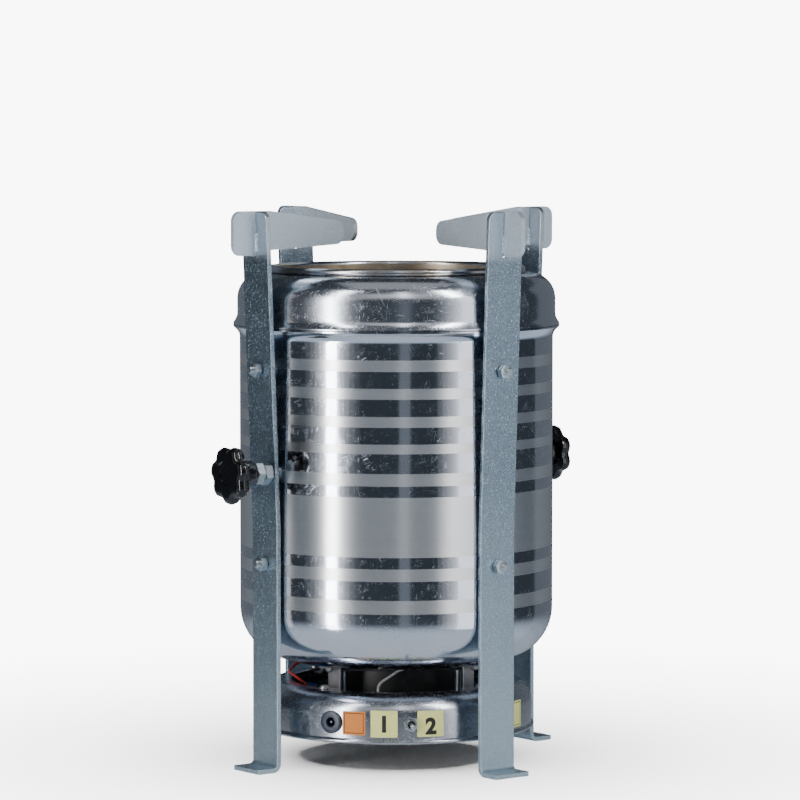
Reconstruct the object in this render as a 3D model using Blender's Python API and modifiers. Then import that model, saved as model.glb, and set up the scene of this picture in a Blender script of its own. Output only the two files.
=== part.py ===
"""Forced-draft biomass cooking stove, as an assembly of separate pieces.

The origin is on the floor under the stove's axis, +Z up, and the side with the power socket and the
switch faces -Y. An azimuth is an angle about +Z in degrees: 0 points to the front and 90 to +X.
"""

import math

import bmesh
import bpy
from mathutils import Matrix, Vector
from mathutils.geometry import interpolate_bezier

MM = 0.001

# Gaps and facets
SEAT_GAP = 0.3
HOLE_CLEARANCE = 0.4
SHELL_SEGMENTS = 28
ROD_SIDES = 12
HOLE_SIDES = 8
RIVET_SIDES = 6

# Outer body: canister, seam and dome
SHEET = 1.0
BODY_RADIUS = 98.0
BODY_FLOOR_Z = 63.0
BODY_CORNER = 32.0
BODY_HEIGHT = 208.7
SEAM_REACH = 4.0
SEAM_LIP = 1.6
FLARE_HEIGHT = 7.7
DOME_STEP = 1.5
DOME_HEIGHT = 32.0
DOME_SHOULDER = 16.0

# Combustion chamber
RING_BORE_RADIUS = 76.3
RING_SHEET = 1.0
RING_BEAD = 2.2
RING_SKIRT = 20.0
RING_DOME_CLEARANCE = 0.7
AIR_HOLE_COUNT = 28
AIR_HOLE_DIAMETER = 5.5
AIR_HOLE_DROP = 6.5
CHAMBER_LIFT = 37.0
CHAMBER_OVERLAP = 8.0
CHAMBER_LEDGE = 7.6
GRATE_THICKNESS = 2.0
GRATE_HOLE_DIAMETER = 10.0
GRATE_HOLE_PITCH = 24.0
GRATE_RINGS = 3
DEFLECTOR_RADIUS = 44.0
DEFLECTOR_RISE = 8.0
DEFLECTOR_LEG = 14.0
DEFLECTOR_LEG_DIAMETER = 4.0
DEFLECTOR_LEG_COUNT = 3

# Legs and pot supports
LEG_AZIMUTHS = {"front_left": -45.0, "front_right": 45.0, "back_right": 135.0, "back_left": -135.0}
LEG_WIDTH = 26.0
LEG_THICKNESS = 3.0
LEG_TOP_DROP = 0.3
LEG_TOP_CORNER = 5.0
LEG_BEND_Z = 150.0
LEG_LEAN = 2.3
LEG_FOOT_REACH = 14.4
LEG_FOOT_BEND = 4.0
SUPPORT_THICKNESS = 3.0
SUPPORT_RISE = 39.7
SUPPORT_WING_REACH = 17.0
SUPPORT_WING_HEIGHT = 27.2
SUPPORT_LEVEL_INSET = 8.5
SUPPORT_ARM_LIFT = 2.8
SUPPORT_TIP_RADIUS = 42.0
SUPPORT_TIP_DROP = 7.2
SUPPORT_TIP_HEIGHT = 13.9
SUPPORT_CORNER = 6.0

# Leg bolts
BOLT_LOW_RISE = 65.0
BOLT_HIGH_DROP = 24.7
BOLT_DIAMETER = 5.0
BOLT_HEAD_DIAMETER = 9.0
BOLT_HEAD_HEIGHT = 3.0
BOLT_NUT_FLATS = 8.0
BOLT_NUT_HEIGHT = 4.0
BOLT_THREAD_SHOWN = 3.0
SPACER_DIAMETER = 10.0

# Star knobs on their studs
KNOB_LEGS = {"left": "front_left", "right": "back_right"}
KNOB_DROP = 87.6
KNOB_OFFSET = 6.0
KNOB_DIAMETER = 36.0
KNOB_LOBES = 7
KNOB_LOBE_DEPTH = 2.4
KNOB_TURNED = {"left": 16.0, "right": 0.0}
KNOB_HEAD = 11.3
KNOB_HUB_DIAMETER = 19.0
KNOB_HUB_END_DIAMETER = 15.6
KNOB_HUB = 8.5
KNOB_EDGE = 2.2
STUD_DIAMETER = 8.0
STUD_HEAD_FLATS = 13.0
STUD_HEAD_HEIGHT = 5.3
STUD_REACH_IN_KNOB = 14.0
STUD_NUT_FLATS = 13.0
STUD_NUT_HEIGHT = 5.5
STUD_NUT_COUNT = 2

# Fan housing under the body
HOUSING_RADIUS = 85.0
HOUSING_BOTTOM_Z = 19.0
HOUSING_HEIGHT = 30.0
HOUSING_SHOULDER = 13.0
HOUSING_INNER_STEPS = 3
HOUSING_BEAD = 1.3
HOUSING_LIP = 4.5
HOUSING_BRACKET_CLEARANCE = 6.8
BASE_THICKNESS = 1.2
BASE_CLEARANCE = 0.4
BRACKET_WIDTH = 10.0
BRACKET_THICKNESS = 1.2
BRACKET_FAN_CLEARANCE = 3.3
BRACKET_TOP_FLANGE = 9.4
BRACKET_LOW_OVERLAP = 5.4
BRACKET_BEND = 1.5
RIVET_DIAMETER = 3.0
RIVET_HEAD_DIAMETER = 6.0
RIVET_HEAD_HEIGHT = 1.2

# Fan
FAN_AZIMUTH = 12.0
FAN_SIZE = 80.0
FAN_HEIGHT = 25.0
FAN_SIDES = 24
FAN_CORNER = 4.5
FAN_BORE_RADIUS = 38.0
FAN_HOLE_PITCH = 71.5
FAN_PLATE = 4.0
FAN_DUCT_WALL = 1.6
FAN_STRUT_WIDTH = 4.0
FAN_STRUT_HEIGHT = 2.5
FAN_STRUT_COUNT = 4
FAN_STRUT_INSET = 0.4
MOTOR_RADIUS = 17.0
BEARING_RADIUS = 4.0
SHAFT_RADIUS = 1.5
SHAFT_CLEARANCE = 0.3
STATOR_RADIUS = 13.5
STATOR_HEIGHT = 12.0
ROTOR_HUB_RADIUS = 18.0
ROTOR_WALL = 1.4
ROTOR_FLOOR_LIFT = 2.3
ROTOR_TOP_GAP = 1.6
BLADE_COUNT = 7
BLADE_TIP_GAP = 1.5
BLADE_THICKNESS = 1.3
BLADE_HEIGHT = 14.0
BLADE_ROOT_SWEEP = 40.0
BLADE_TIP_SWEEP = 34.0
BLADE_CAMBER = 1.8
BLADE_SEGMENTS = 3
FAN_SCREW_DIAMETER = 4.0
FAN_SCREW_HEAD_DIAMETER = 7.5
FAN_SCREW_HEAD_HEIGHT = 2.5
FAN_NUT_FLATS = 7.0
FAN_NUT_HEIGHT = 3.2
FAN_SCREW_END = 1.0

# Cells, board, socket and switch in the housing
CELL_DIAMETER = 18.4
CELL_LENGTH = 65.0
CELL_FAN_CLEARANCE = 2.8
CRADLE_FLOOR = 1.5
CRADLE_END = 2.0
CRADLE_HEIGHT = 9.0
CRADLE_WIDTH = 20.0
BOARD_LENGTH = 36.0
BOARD_WIDTH = 20.0
BOARD_THICKNESS = 1.6
BOARD_LIFT = 5.0
BOARD_FAN_CLEARANCE = 4.0
PANEL_HEIGHT = 13.0
JACK_AZIMUTH = -20.2
JACK_FLANGE_DIAMETER = 14.0
JACK_FLANGE_HEIGHT = 1.6
JACK_BARREL_DIAMETER = 11.0
JACK_BARREL_LENGTH = 13.0
JACK_HOLE_DIAMETER = 5.6
JACK_HOLE_DEPTH = 9.0
JACK_PIN_DIAMETER = 2.0
JACK_NUT_FLATS = 14.0
JACK_NUT_HEIGHT = 2.5
SWITCH_AZIMUTH = 13.5
SWITCH_CASE = (13.0, 8.0, 9.5)
BUSHING_DIAMETER = 6.0
BUSHING_LENGTH = 4.0
BUSHING_BORE_RADIUS = 2.1
BUSHING_MOUTH_RADIUS = 2.45
SWITCH_NUT_FLATS = 8.0
SWITCH_NUT_HEIGHT = 2.0
LEVER_PIVOT_DEPTH = 3.5
LEVER_LENGTH = 10.4
LEVER_ROOT_RADIUS = 1.0
LEVER_TIP_RADIUS = 1.5
LEVER_BALL_RADIUS = 1.8
TERMINAL_PITCH = 4.7
TERMINAL_SIZE = (2.0, 0.8, 4.0)
TERMINAL_SUNK = 1.0

# Leads between switch, cell and fan: the points that each one bends through
LEAD_DIAMETER = 1.6
LEAD_PLATE_SHIFT = 2.7
WHITE_LEAD_BENDS = (
    (8.0, -58.5, 34.5),
    (0.0, -55.5, 39.5),
    (-4.3, -52.0, 46.0),
    (-3.6, -49.0, 51.5),
    (2.5, -46.0, 56.0),
    (7.0, -44.0, 59.0),
)
RED_LEAD_BENDS = (
    (-45.5, -47.5, 40.0),
    (-49.5, -40.5, 47.5),
    (-56.0, -31.5, 50.6),
    (-63.0, -18.0, 52.0),
    (-66.9, -6.0, 52.8),
    (-64.0, 5.0, 56.0),
    (-54.0, 4.0, 59.8),
)

# Heights and radii that follow from the sizes above
BODY_INNER = BODY_RADIUS - SHEET
FLOOR_TOP_Z = BODY_FLOOR_Z + SHEET
SEAM_RADIUS = BODY_RADIUS + SEAM_REACH
SEAM_Z = BODY_FLOOR_Z + BODY_HEIGHT
DOME_RADIUS = BODY_RADIUS + DOME_STEP
DOME_TOP_Z = SEAM_Z + SEAT_GAP + DOME_HEIGHT
RING_OUTER = RING_BORE_RADIUS + RING_SHEET
RING_SKIRT_Z = DOME_TOP_Z - RING_SKIRT
CHAMBER_INNER = RING_OUTER + SEAT_GAP
CHAMBER_TOP_Z = RING_SKIRT_Z + CHAMBER_OVERLAP
CHAMBER_BOTTOM_Z = BODY_FLOOR_Z + CHAMBER_LIFT
LEG_INNER = BODY_RADIUS + 2 * SEAT_GAP
LEG_MIDDLE = LEG_INNER + LEG_THICKNESS / 2
LEG_OUTER = LEG_INNER + LEG_THICKNESS
SUPPORT_TOP_Z = DOME_TOP_Z + SUPPORT_RISE
LEG_TOP_Z = SUPPORT_TOP_Z - LEG_TOP_DROP
SUPPORT_WING_BOTTOM_Z = SUPPORT_TOP_Z - SUPPORT_WING_HEIGHT
BOLT_LOW_Z = BODY_FLOOR_Z + BOLT_LOW_RISE
BOLT_HIGH_Z = SEAM_Z - BOLT_HIGH_DROP
KNOB_Z = SEAM_Z - KNOB_DROP
FAN_TOP_Z = BODY_FLOOR_Z - SEAT_GAP
FAN_BOTTOM_Z = FAN_TOP_Z - FAN_HEIGHT
CORNER_AZIMUTHS = [FAN_AZIMUTH + 45.0 + 90.0 * k for k in range(4)]
CORNER_NAMES = ("front_right", "back_right", "back_left", "front_left")
FAN_CORNER_RADIUS = FAN_SIZE / math.sqrt(2) - FAN_CORNER * (math.sqrt(2) - 1)
BRACKET_RADIUS = FAN_CORNER_RADIUS + BRACKET_FAN_CLEARANCE + BRACKET_THICKNESS / 2
HOUSING_TOP_Z = HOUSING_BOTTOM_Z + HOUSING_HEIGHT
HOUSING_OPENING_RADIUS = BRACKET_RADIUS + BRACKET_THICKNESS / 2 + HOUSING_BRACKET_CLEARANCE
HOUSING_CORNER = min(HOUSING_SHOULDER, HOUSING_RADIUS - HOUSING_OPENING_RADIUS - BRACKET_LOW_OVERLAP)
PANEL_Z = HOUSING_BOTTOM_Z + PANEL_HEIGHT
BASE_Z = HOUSING_BOTTOM_Z + SHEET + SEAT_GAP
BASE_TOP_Z = BASE_Z + BASE_THICKNESS
HOUSING_INNER = HOUSING_RADIUS - SHEET


def clear_scene():
    """Removes whatever the file holds, so that the stove is built alone."""
    for old in list(bpy.data.objects):
        bpy.data.objects.remove(old, do_unlink=True)


def collection(name, in_render=True):
    made = bpy.data.collections.new(name)
    made.hide_render = not in_render
    bpy.context.scene.collection.children.link(made)
    return made


def material(name, colour, roughness, metallic):
    made = bpy.data.materials.new(name)
    made.use_nodes = True
    shader = made.node_tree.nodes["Principled BSDF"]
    shader.inputs["Base Color"].default_value = (*colour, 1.0)
    shader.inputs["Roughness"].default_value = roughness
    shader.inputs["Metallic"].default_value = metallic
    made.diffuse_color = (*colour, 1.0)
    return made


clear_scene()
STOVE = collection("biomass_stove")
CUTTERS = collection("stove_cutters", in_render=False)

POLISHED = material("polished_stainless", (0.62, 0.64, 0.68), 0.12, 1.0)
SATIN = material("satin_stainless", (0.55, 0.57, 0.60), 0.35, 1.0)
HEATED = material("heat_tinted_steel", (0.16, 0.12, 0.09), 0.50, 1.0)
GALVANISED = material("galvanised_steel", (0.45, 0.48, 0.53), 0.40, 1.0)
ZINC = material("bright_zinc", (0.70, 0.70, 0.68), 0.25, 1.0)
BAKELITE = material("black_bakelite", (0.01, 0.01, 0.01), 0.12, 0.0)
BLACK_PLASTIC = material("black_plastic", (0.02, 0.02, 0.02), 0.45, 0.0)
BLUE_PLASTIC = material("blue_plastic", (0.03, 0.05, 0.12), 0.40, 0.0)
COPPER = material("copper_winding", (0.70, 0.30, 0.12), 0.35, 1.0)
CELL_WRAP = material("cell_wrap", (0.02, 0.12, 0.45), 0.35, 0.0)
BOARD_GREEN = material("board_green", (0.02, 0.18, 0.06), 0.40, 0.0)
WHITE_WIRE = material("white_insulation", (0.80, 0.80, 0.78), 0.45, 0.0)
RED_WIRE = material("red_insulation", (0.60, 0.03, 0.02), 0.45, 0.0)


def scaled(points):
    """Millimetre tuples as metre vectors."""
    return [Vector(point) * MM for point in points]


def place(azimuth, radius=0.0, height=0.0, side=0.0):
    """A frame whose Z points outward at this azimuth, Y points up and X along the tangent."""
    turn = math.radians(azimuth)
    outward = Vector((math.sin(turn), -math.cos(turn), 0.0))
    tangent = Vector((math.cos(turn), math.sin(turn), 0.0))
    up = Vector((0.0, 0.0, 1.0))
    frame = Matrix((tangent, up, outward)).transposed().to_4x4()
    frame.translation = (outward * radius + up * height + tangent * side) * MM
    return frame


def upright(azimuth=0.0, radius=0.0, height=0.0, side=0.0):
    """A frame whose Z points up and Y inward from this azimuth, X along the tangent."""
    frame = place(azimuth, radius, height, side)
    return frame @ Matrix.Rotation(-math.pi / 2, 4, "X")


def add_object(name, mesh, finish, frame=None, home=STOVE):
    made = bpy.data.objects.new(name, mesh)
    home.objects.link(made)
    made.matrix_world = frame if frame else Matrix.Identity(4)
    if finish and not mesh.materials:
        mesh.materials.append(finish)
    if home is CUTTERS:
        made.hide_render = True
        made.display_type = "WIRE"
    return made


def shaded(mesh, angle=35.0):
    mesh.shade_smooth()
    mesh.set_sharp_from_angle(angle=math.radians(angle))
    return mesh


def evaluated_mesh(source):
    """A copy of this object's shape after its modifiers, in its own frame."""
    bpy.context.view_layer.update()
    graph = bpy.context.evaluated_depsgraph_get()
    return bpy.data.meshes.new_from_object(source.evaluated_get(graph))


def bake(source):
    """The object's finished mesh; the object itself is removed."""
    mesh = evaluated_mesh(source)
    bpy.data.objects.remove(source, do_unlink=True)
    return mesh


def arc(centre_r, centre_z, radius, start, end, steps):
    """Points along a quarter or other arc, angles in degrees from the +r direction."""
    turns = [math.radians(start + (end - start) * k / steps) for k in range(steps + 1)]
    return [(centre_r + radius * math.cos(t), centre_z + radius * math.sin(t)) for t in turns]


def rounded(corners, steps=3):
    """A closed outline through (x, y, fillet radius) corners."""
    outline = []
    count = len(corners)
    for k, (x, y, fillet) in enumerate(corners):
        here = Vector((x, y))
        before = (Vector(corners[k - 1][:2]) - here).normalized()
        after = (Vector(corners[(k + 1) % count][:2]) - here).normalized()
        if fillet <= 0.0:
            outline.append((x, y))
            continue
        half = before.angle(after) / 2
        middle = here + (before + after).normalized() * fillet / math.sin(half)
        start = here + before * fillet / math.tan(half) - middle
        end = here + after * fillet / math.tan(half) - middle
        sweep = start.angle_signed(end)
        for step in range(steps + 1):
            turned_by = Matrix.Rotation(-sweep * step / steps, 2)
            outline.append(tuple(middle + turned_by @ start))
    return outline


def circle(radius, sides, x=0.0, y=0.0, phase=0.0):
    turns = [math.radians(phase) + 2 * math.pi * k / sides for k in range(sides)]
    return [(x + radius * math.cos(t), y + radius * math.sin(t)) for t in turns]


def hexagon(flats, phase=30.0):
    return circle(flats / math.sqrt(3), 6, phase=phase)


def turned(name, profile, finish, segments=SHELL_SEGMENTS, frame=None, home=STOVE, closed=True):
    """A profile of (radius, height) points, outer side first and downward, turned about local Z."""
    mesh = bpy.data.meshes.new(name)
    points = scaled((r, 0.0, z) for r, z in profile)
    edges = [(k, k + 1) for k in range(len(points) - 1)]
    if closed:
        edges.append((len(points) - 1, 0))
    mesh.from_pydata(points, edges, [])
    made = add_object(name, mesh, finish, frame, home)
    screw = made.modifiers.new("turn", "SCREW")
    screw.axis = "Z"
    screw.steps = segments
    screw.render_steps = segments
    screw.use_merge_vertices = True
    screw.merge_threshold = 0.00001
    screw.use_smooth_shade = True
    return made


def plate_mesh(name, outlines, thickness):
    """A flat plate in local XY, centred on Z = 0; the first outline is the rim, the rest are holes."""
    flat = bpy.data.curves.new(name, "CURVE")
    flat.dimensions = "2D"
    flat.fill_mode = "BOTH"
    flat.extrude = thickness / 2 * MM
    for outline in outlines:
        spline = flat.splines.new("POLY")
        spline.points.add(len(outline) - 1)
        for point, (x, y) in zip(spline.points, outline):
            point.co = (x * MM, y * MM, 0.0, 1.0)
        spline.use_cyclic_u = True
    guide = add_object(name + "_outline", flat, None)
    mesh = bake(guide)
    bpy.data.curves.remove(flat)
    mesh.name = name
    solid = bmesh.new()
    solid.from_mesh(mesh)
    bmesh.ops.remove_doubles(solid, verts=solid.verts, dist=0.000001)
    bmesh.ops.recalc_face_normals(solid, faces=solid.faces)
    solid.to_mesh(mesh)
    solid.free()
    return mesh


def plate(name, outlines, thickness, finish, frame=None, home=STOVE):
    return add_object(name, plate_mesh(name, outlines, thickness), finish, frame, home)


def box_mesh(name, size, centre=(0.0, 0.0, 0.0)):
    block = bmesh.new()
    stretch = Matrix.Diagonal((*[s * MM for s in size], 1.0))
    shift = Matrix.Translation(Vector(centre) * MM)
    bmesh.ops.create_cube(block, size=1.0, matrix=shift @ stretch)
    mesh = bpy.data.meshes.new(name)
    block.to_mesh(mesh)
    block.free()
    return mesh


def rod_mesh(name, radius, bottom, top, sides=ROD_SIDES, top_radius=None):
    """A cylinder or cone on local Z between two heights."""
    rod = bmesh.new()
    middle = Matrix.Translation((0.0, 0.0, (bottom + top) / 2 * MM))
    upper = radius if top_radius is None else top_radius
    bmesh.ops.create_cone(
        rod,
        cap_ends=True,
        segments=sides,
        radius1=radius * MM,
        radius2=upper * MM,
        depth=(top - bottom) * MM,
        matrix=middle,
    )
    mesh = bpy.data.meshes.new(name)
    rod.to_mesh(mesh)
    rod.free()
    return shaded(mesh)


def joined(name, meshes_and_frames):
    """One mesh that holds each given mesh in its frame, as separate bodies."""
    whole = bmesh.new()
    for source, frame in meshes_and_frames:
        part = source.copy()
        part.transform(frame)
        whole.from_mesh(part)
        bpy.data.meshes.remove(part)
    mesh = bpy.data.meshes.new(name)
    whole.to_mesh(mesh)
    whole.free()
    return shaded(mesh)


def boolean(target, tool, operation="DIFFERENCE"):
    step = target.modifiers.new(operation.lower(), "BOOLEAN")
    step.operation = operation
    step.solver = "EXACT"
    step.object = tool
    return target


def tool(name, meshes_and_frames):
    """A hidden object that cuts, or is joined to, the parts."""
    return add_object(name, joined(name, meshes_and_frames), None, home=CUTTERS)


def holes(name, radius, bottom, top, frames, sides=HOLE_SIDES):
    """A cutter of round holes along the Z of each frame, whose flats clear this radius."""
    drill = rod_mesh(name + "_drill", radius / math.cos(math.pi / sides), bottom, top, sides)
    return tool(name, [(drill, frame) for frame in frames])


def strip(name, path, width, thickness, finish, frame=None, top_corner=0.0):
    """Flat bar bent along a path of (outward, up) points, in the frame's Z and Y."""
    bar = bmesh.new()
    rows = []
    for outward, up in path:
        row = [bar.verts.new(Vector((side * width / 2, up, outward)) * MM) for side in (-1, 1)]
        rows.append(row)
    for low, high in zip(rows, rows[1:]):
        bar.faces.new((low[0], low[1], high[1], high[0]))
    if top_corner:
        bmesh.ops.bevel(
            bar,
            geom=list(rows[-1]),
            offset=top_corner * MM,
            offset_type="OFFSET",
            segments=3,
            profile=0.5,
            affect="VERTICES",
        )
    mesh = bpy.data.meshes.new(name)
    bar.to_mesh(mesh)
    bar.free()
    made = add_object(name, mesh, finish, frame)
    wall = made.modifiers.new("thickness", "SOLIDIFY")
    wall.thickness = thickness * MM
    wall.offset = 0.0
    wall.use_even_offset = True
    return made


def bent_path(corners, steps=3):
    """An open path through (outward, up, bend radius) corners; the ends have no bend."""
    path = [corners[0][:2]]
    for before, here, after in zip(corners, corners[1:], corners[2:]):
        if here[2] <= 0.0:
            path.append(here[:2])
            continue
        triangle = [(*before[:2], 0.0), here, (*after[:2], 0.0)]
        path += rounded(triangle, steps)[1:-1]
    path.append(corners[-1][:2])
    return path


def leg_face(height):
    """Radius of a leg's inner face at this height: upright below the bend, leaning out above it."""
    return LEG_INNER + max(0.0, height - LEG_BEND_Z) * math.tan(math.radians(LEG_LEAN))


def leg_nut_face(height, half):
    """Radius at which a nut of this half height clears the leg's outer face."""
    return leg_face(height + half) + LEG_THICKNESS / math.cos(math.radians(LEG_LEAN)) + SEAT_GAP


def knob_foot():
    """Radius of the inner end of a star knob, just clear of the nuts on its stud."""
    nuts = STUD_NUT_COUNT * (STUD_NUT_HEIGHT + SEAT_GAP)
    return leg_nut_face(KNOB_Z, STUD_NUT_FLATS / 2) + nuts


def inside_wall(radius, reach):
    """How far out a flat face may lie inside this faceted round wall and stay clear to its edge."""
    nearest = radius * math.cos(math.pi / SHELL_SEGMENTS)
    return math.sqrt(nearest**2 - reach**2) - SEAT_GAP


def housing_wall(height):
    """Inner radius of the fan housing at this height, drawn in above the start of the shoulder."""
    radius = HOUSING_CORNER - SHEET
    above = max(0.0, height - (HOUSING_TOP_Z - HOUSING_CORNER))
    facet = radius * (1 - math.cos(math.pi / 4 / HOUSING_INNER_STEPS)) if above else 0.0
    return HOUSING_INNER - radius + math.sqrt(radius**2 - above**2) - facet


def bolt_frames(height):
    return [place(azimuth, height=height) for azimuth in LEG_AZIMUTHS.values()]


def knob_frames(radius=0.0):
    return {
        side: place(LEG_AZIMUTHS[leg], radius, KNOB_Z, KNOB_OFFSET) for side, leg in KNOB_LEGS.items()
    }


def corner_frames(radius, height=0.0):
    return [upright(azimuth, radius, height) for azimuth in CORNER_AZIMUTHS]


def build_body():
    """Canister of thin sheet: round lower corner, flat floor with the fan's opening, flared top."""
    corner_r = BODY_RADIUS - BODY_CORNER
    corner_z = BODY_FLOOR_Z + BODY_CORNER
    flare_z = SEAM_Z - FLARE_HEIGHT
    flare = SEAM_RADIUS - BODY_RADIUS
    lip_inner = SEAM_RADIUS - SEAM_LIP
    opening = FAN_BORE_RADIUS - SHEET
    profile = [
        (SEAM_RADIUS, SEAM_Z),
        (SEAM_RADIUS, SEAM_Z - SHEET),
        (BODY_RADIUS + 0.45 * flare, SEAM_Z - 0.32 * FLARE_HEIGHT),
        (BODY_RADIUS + 0.14 * flare, SEAM_Z - 0.62 * FLARE_HEIGHT),
        (BODY_RADIUS, flare_z),
    ]
    profile += arc(corner_r, corner_z, BODY_CORNER, 0, -90, 5)
    profile += [(opening, BODY_FLOOR_Z), (opening, FLOOR_TOP_Z)]
    profile += arc(corner_r, corner_z, BODY_CORNER - SHEET, -90, 0, 3)
    profile += [
        (BODY_INNER, flare_z),
        (lip_inner, SEAM_Z),
    ]
    body = turned("body_shell", profile, POLISHED)
    bolt_hole = (BOLT_DIAMETER + HOLE_CLEARANCE) / 2
    stud_hole = (STUD_DIAMETER + HOLE_CLEARANCE) / 2
    bolts = bolt_frames(BOLT_LOW_Z) + bolt_frames(BOLT_HIGH_Z)
    wall = (BODY_INNER - 4, BODY_RADIUS + 4)
    boolean(body, holes("body_bolt_holes", bolt_hole, *wall, bolts))
    boolean(body, holes("body_stud_holes", stud_hole, *wall, knob_frames().values()))
    floor = (BODY_FLOOR_Z - 2, FLOOR_TOP_Z + 2)
    screw_hole = (FAN_SCREW_DIAMETER + HOLE_CLEARANCE) / 2
    rivet_hole = (RIVET_DIAMETER + HOLE_CLEARANCE) / 2
    screws = corner_frames(FAN_HOLE_PITCH / math.sqrt(2))
    boolean(body, holes("body_screw_holes", screw_hole, *floor, screws))
    rivets = corner_frames(top_rivet_radius())
    boolean(body, holes("body_rivet_holes", rivet_hole, *floor, rivets, RIVET_SIDES))


def build_dome():
    """Top cover: skirt seated on the body's lip, round shoulder, flat top round the burner ring."""
    shoulder_r = DOME_RADIUS - DOME_SHOULDER
    shoulder_z = DOME_TOP_Z - DOME_SHOULDER
    foot = SEAM_Z + SEAT_GAP
    flare = SEAM_RADIUS - DOME_RADIUS
    opening = RING_OUTER + RING_DOME_CLEARANCE
    inner = DOME_RADIUS - SHEET
    profile = [(opening, DOME_TOP_Z)]
    profile += arc(shoulder_r, shoulder_z, DOME_SHOULDER, 90, 0, 4)
    profile += [
        (DOME_RADIUS, foot + FLARE_HEIGHT),
        (DOME_RADIUS + 0.16 * flare, foot + 0.62 * FLARE_HEIGHT),
        (DOME_RADIUS + 0.5 * flare, foot + 0.32 * FLARE_HEIGHT),
        (SEAM_RADIUS, foot + SHEET),
        (SEAM_RADIUS, foot),
        (SEAM_RADIUS - SEAM_LIP, foot),
        (inner, foot + FLARE_HEIGHT),
    ]
    profile += arc(shoulder_r, shoulder_z, DOME_SHOULDER - SHEET, 0, 90, 3)
    profile += [(opening, DOME_TOP_Z - SHEET)]
    turned("dome_shell", profile, POLISHED)


def build_burner_ring():
    """Perforated ring whose rolled bead rests on the dome and whose skirt enters the chamber."""
    bead_r = RING_BORE_RADIUS + RING_BEAD
    bead_z = DOME_TOP_Z + SEAT_GAP + RING_BEAD
    profile = arc(bead_r, bead_z, RING_BEAD, 180, -90, 5)
    profile += [
        (RING_OUTER, DOME_TOP_Z + SEAT_GAP),
        (RING_OUTER, RING_SKIRT_Z),
        (RING_BORE_RADIUS, RING_SKIRT_Z),
    ]
    ring = turned("burner_ring", profile, HEATED, segments=AIR_HOLE_COUNT)
    height = DOME_TOP_Z - AIR_HOLE_DROP
    half_step = 180.0 / AIR_HOLE_COUNT
    frames = [place(360.0 * k / AIR_HOLE_COUNT + half_step, height=height) for k in range(AIR_HOLE_COUNT)]
    reach = (RING_BORE_RADIUS - 3, RING_OUTER + 3)
    boolean(ring, holes("secondary_air_holes", AIR_HOLE_DIAMETER / 2, *reach, frames, sides=6))


def build_chamber():
    """Fire tube with an inward ledge at its foot, the perforated grate on the ledge."""
    outer = CHAMBER_INNER + SHEET
    ledge = CHAMBER_INNER - CHAMBER_LEDGE
    profile = [
        (outer, CHAMBER_TOP_Z),
        (outer, CHAMBER_BOTTOM_Z),
        (ledge, CHAMBER_BOTTOM_Z),
        (ledge, CHAMBER_BOTTOM_Z + SHEET),
        (CHAMBER_INNER, CHAMBER_BOTTOM_Z + SHEET),
        (CHAMBER_INNER, CHAMBER_TOP_Z),
    ]
    turned("combustion_chamber", profile, HEATED, segments=AIR_HOLE_COUNT)
    rim = circle(CHAMBER_INNER - SEAT_GAP, AIR_HOLE_COUNT)
    outlines = [rim]
    for ring in range(GRATE_RINGS):
        for k in range(max(1, 6 * ring)):
            turn = 2 * math.pi * k / max(1, 6 * ring)
            x = ring * GRATE_HOLE_PITCH * math.cos(turn)
            y = ring * GRATE_HOLE_PITCH * math.sin(turn)
            outlines.append(circle(GRATE_HOLE_DIAMETER / 2, 6, x, y))
    height = CHAMBER_BOTTOM_Z + SHEET + SEAT_GAP + GRATE_THICKNESS / 2
    plate("fuel_grate", outlines, GRATE_THICKNESS, HEATED, upright(height=height))


def build_deflector():
    """Shallow cone on three legs that keeps ash out of the fan's opening."""
    foot = FLOOR_TOP_Z + SEAT_GAP
    eaves = foot + DEFLECTOR_LEG
    profile = [
        (0.0, eaves + DEFLECTOR_RISE + SHEET),
        (DEFLECTOR_RADIUS, eaves + SHEET),
        (DEFLECTOR_RADIUS, eaves),
        (0.0, eaves + DEFLECTOR_RISE),
    ]
    cone = turned("ash_deflector", profile, SATIN, segments=24, closed=False)
    leg_radius = DEFLECTOR_RADIUS - DEFLECTOR_LEG_DIAMETER
    slope = DEFLECTOR_RISE / DEFLECTOR_RADIUS
    top = eaves + (DEFLECTOR_RADIUS - leg_radius) * slope + SHEET / 2
    leg = rod_mesh("deflector_leg", DEFLECTOR_LEG_DIAMETER / 2, foot, top, HOLE_SIDES)
    turns = [360.0 * k / DEFLECTOR_LEG_COUNT + FAN_AZIMUTH for k in range(DEFLECTOR_LEG_COUNT)]
    legs = tool("deflector_legs", [(leg, upright(turn, leg_radius)) for turn in turns])
    boolean(cone, legs, "UNION")


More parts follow.
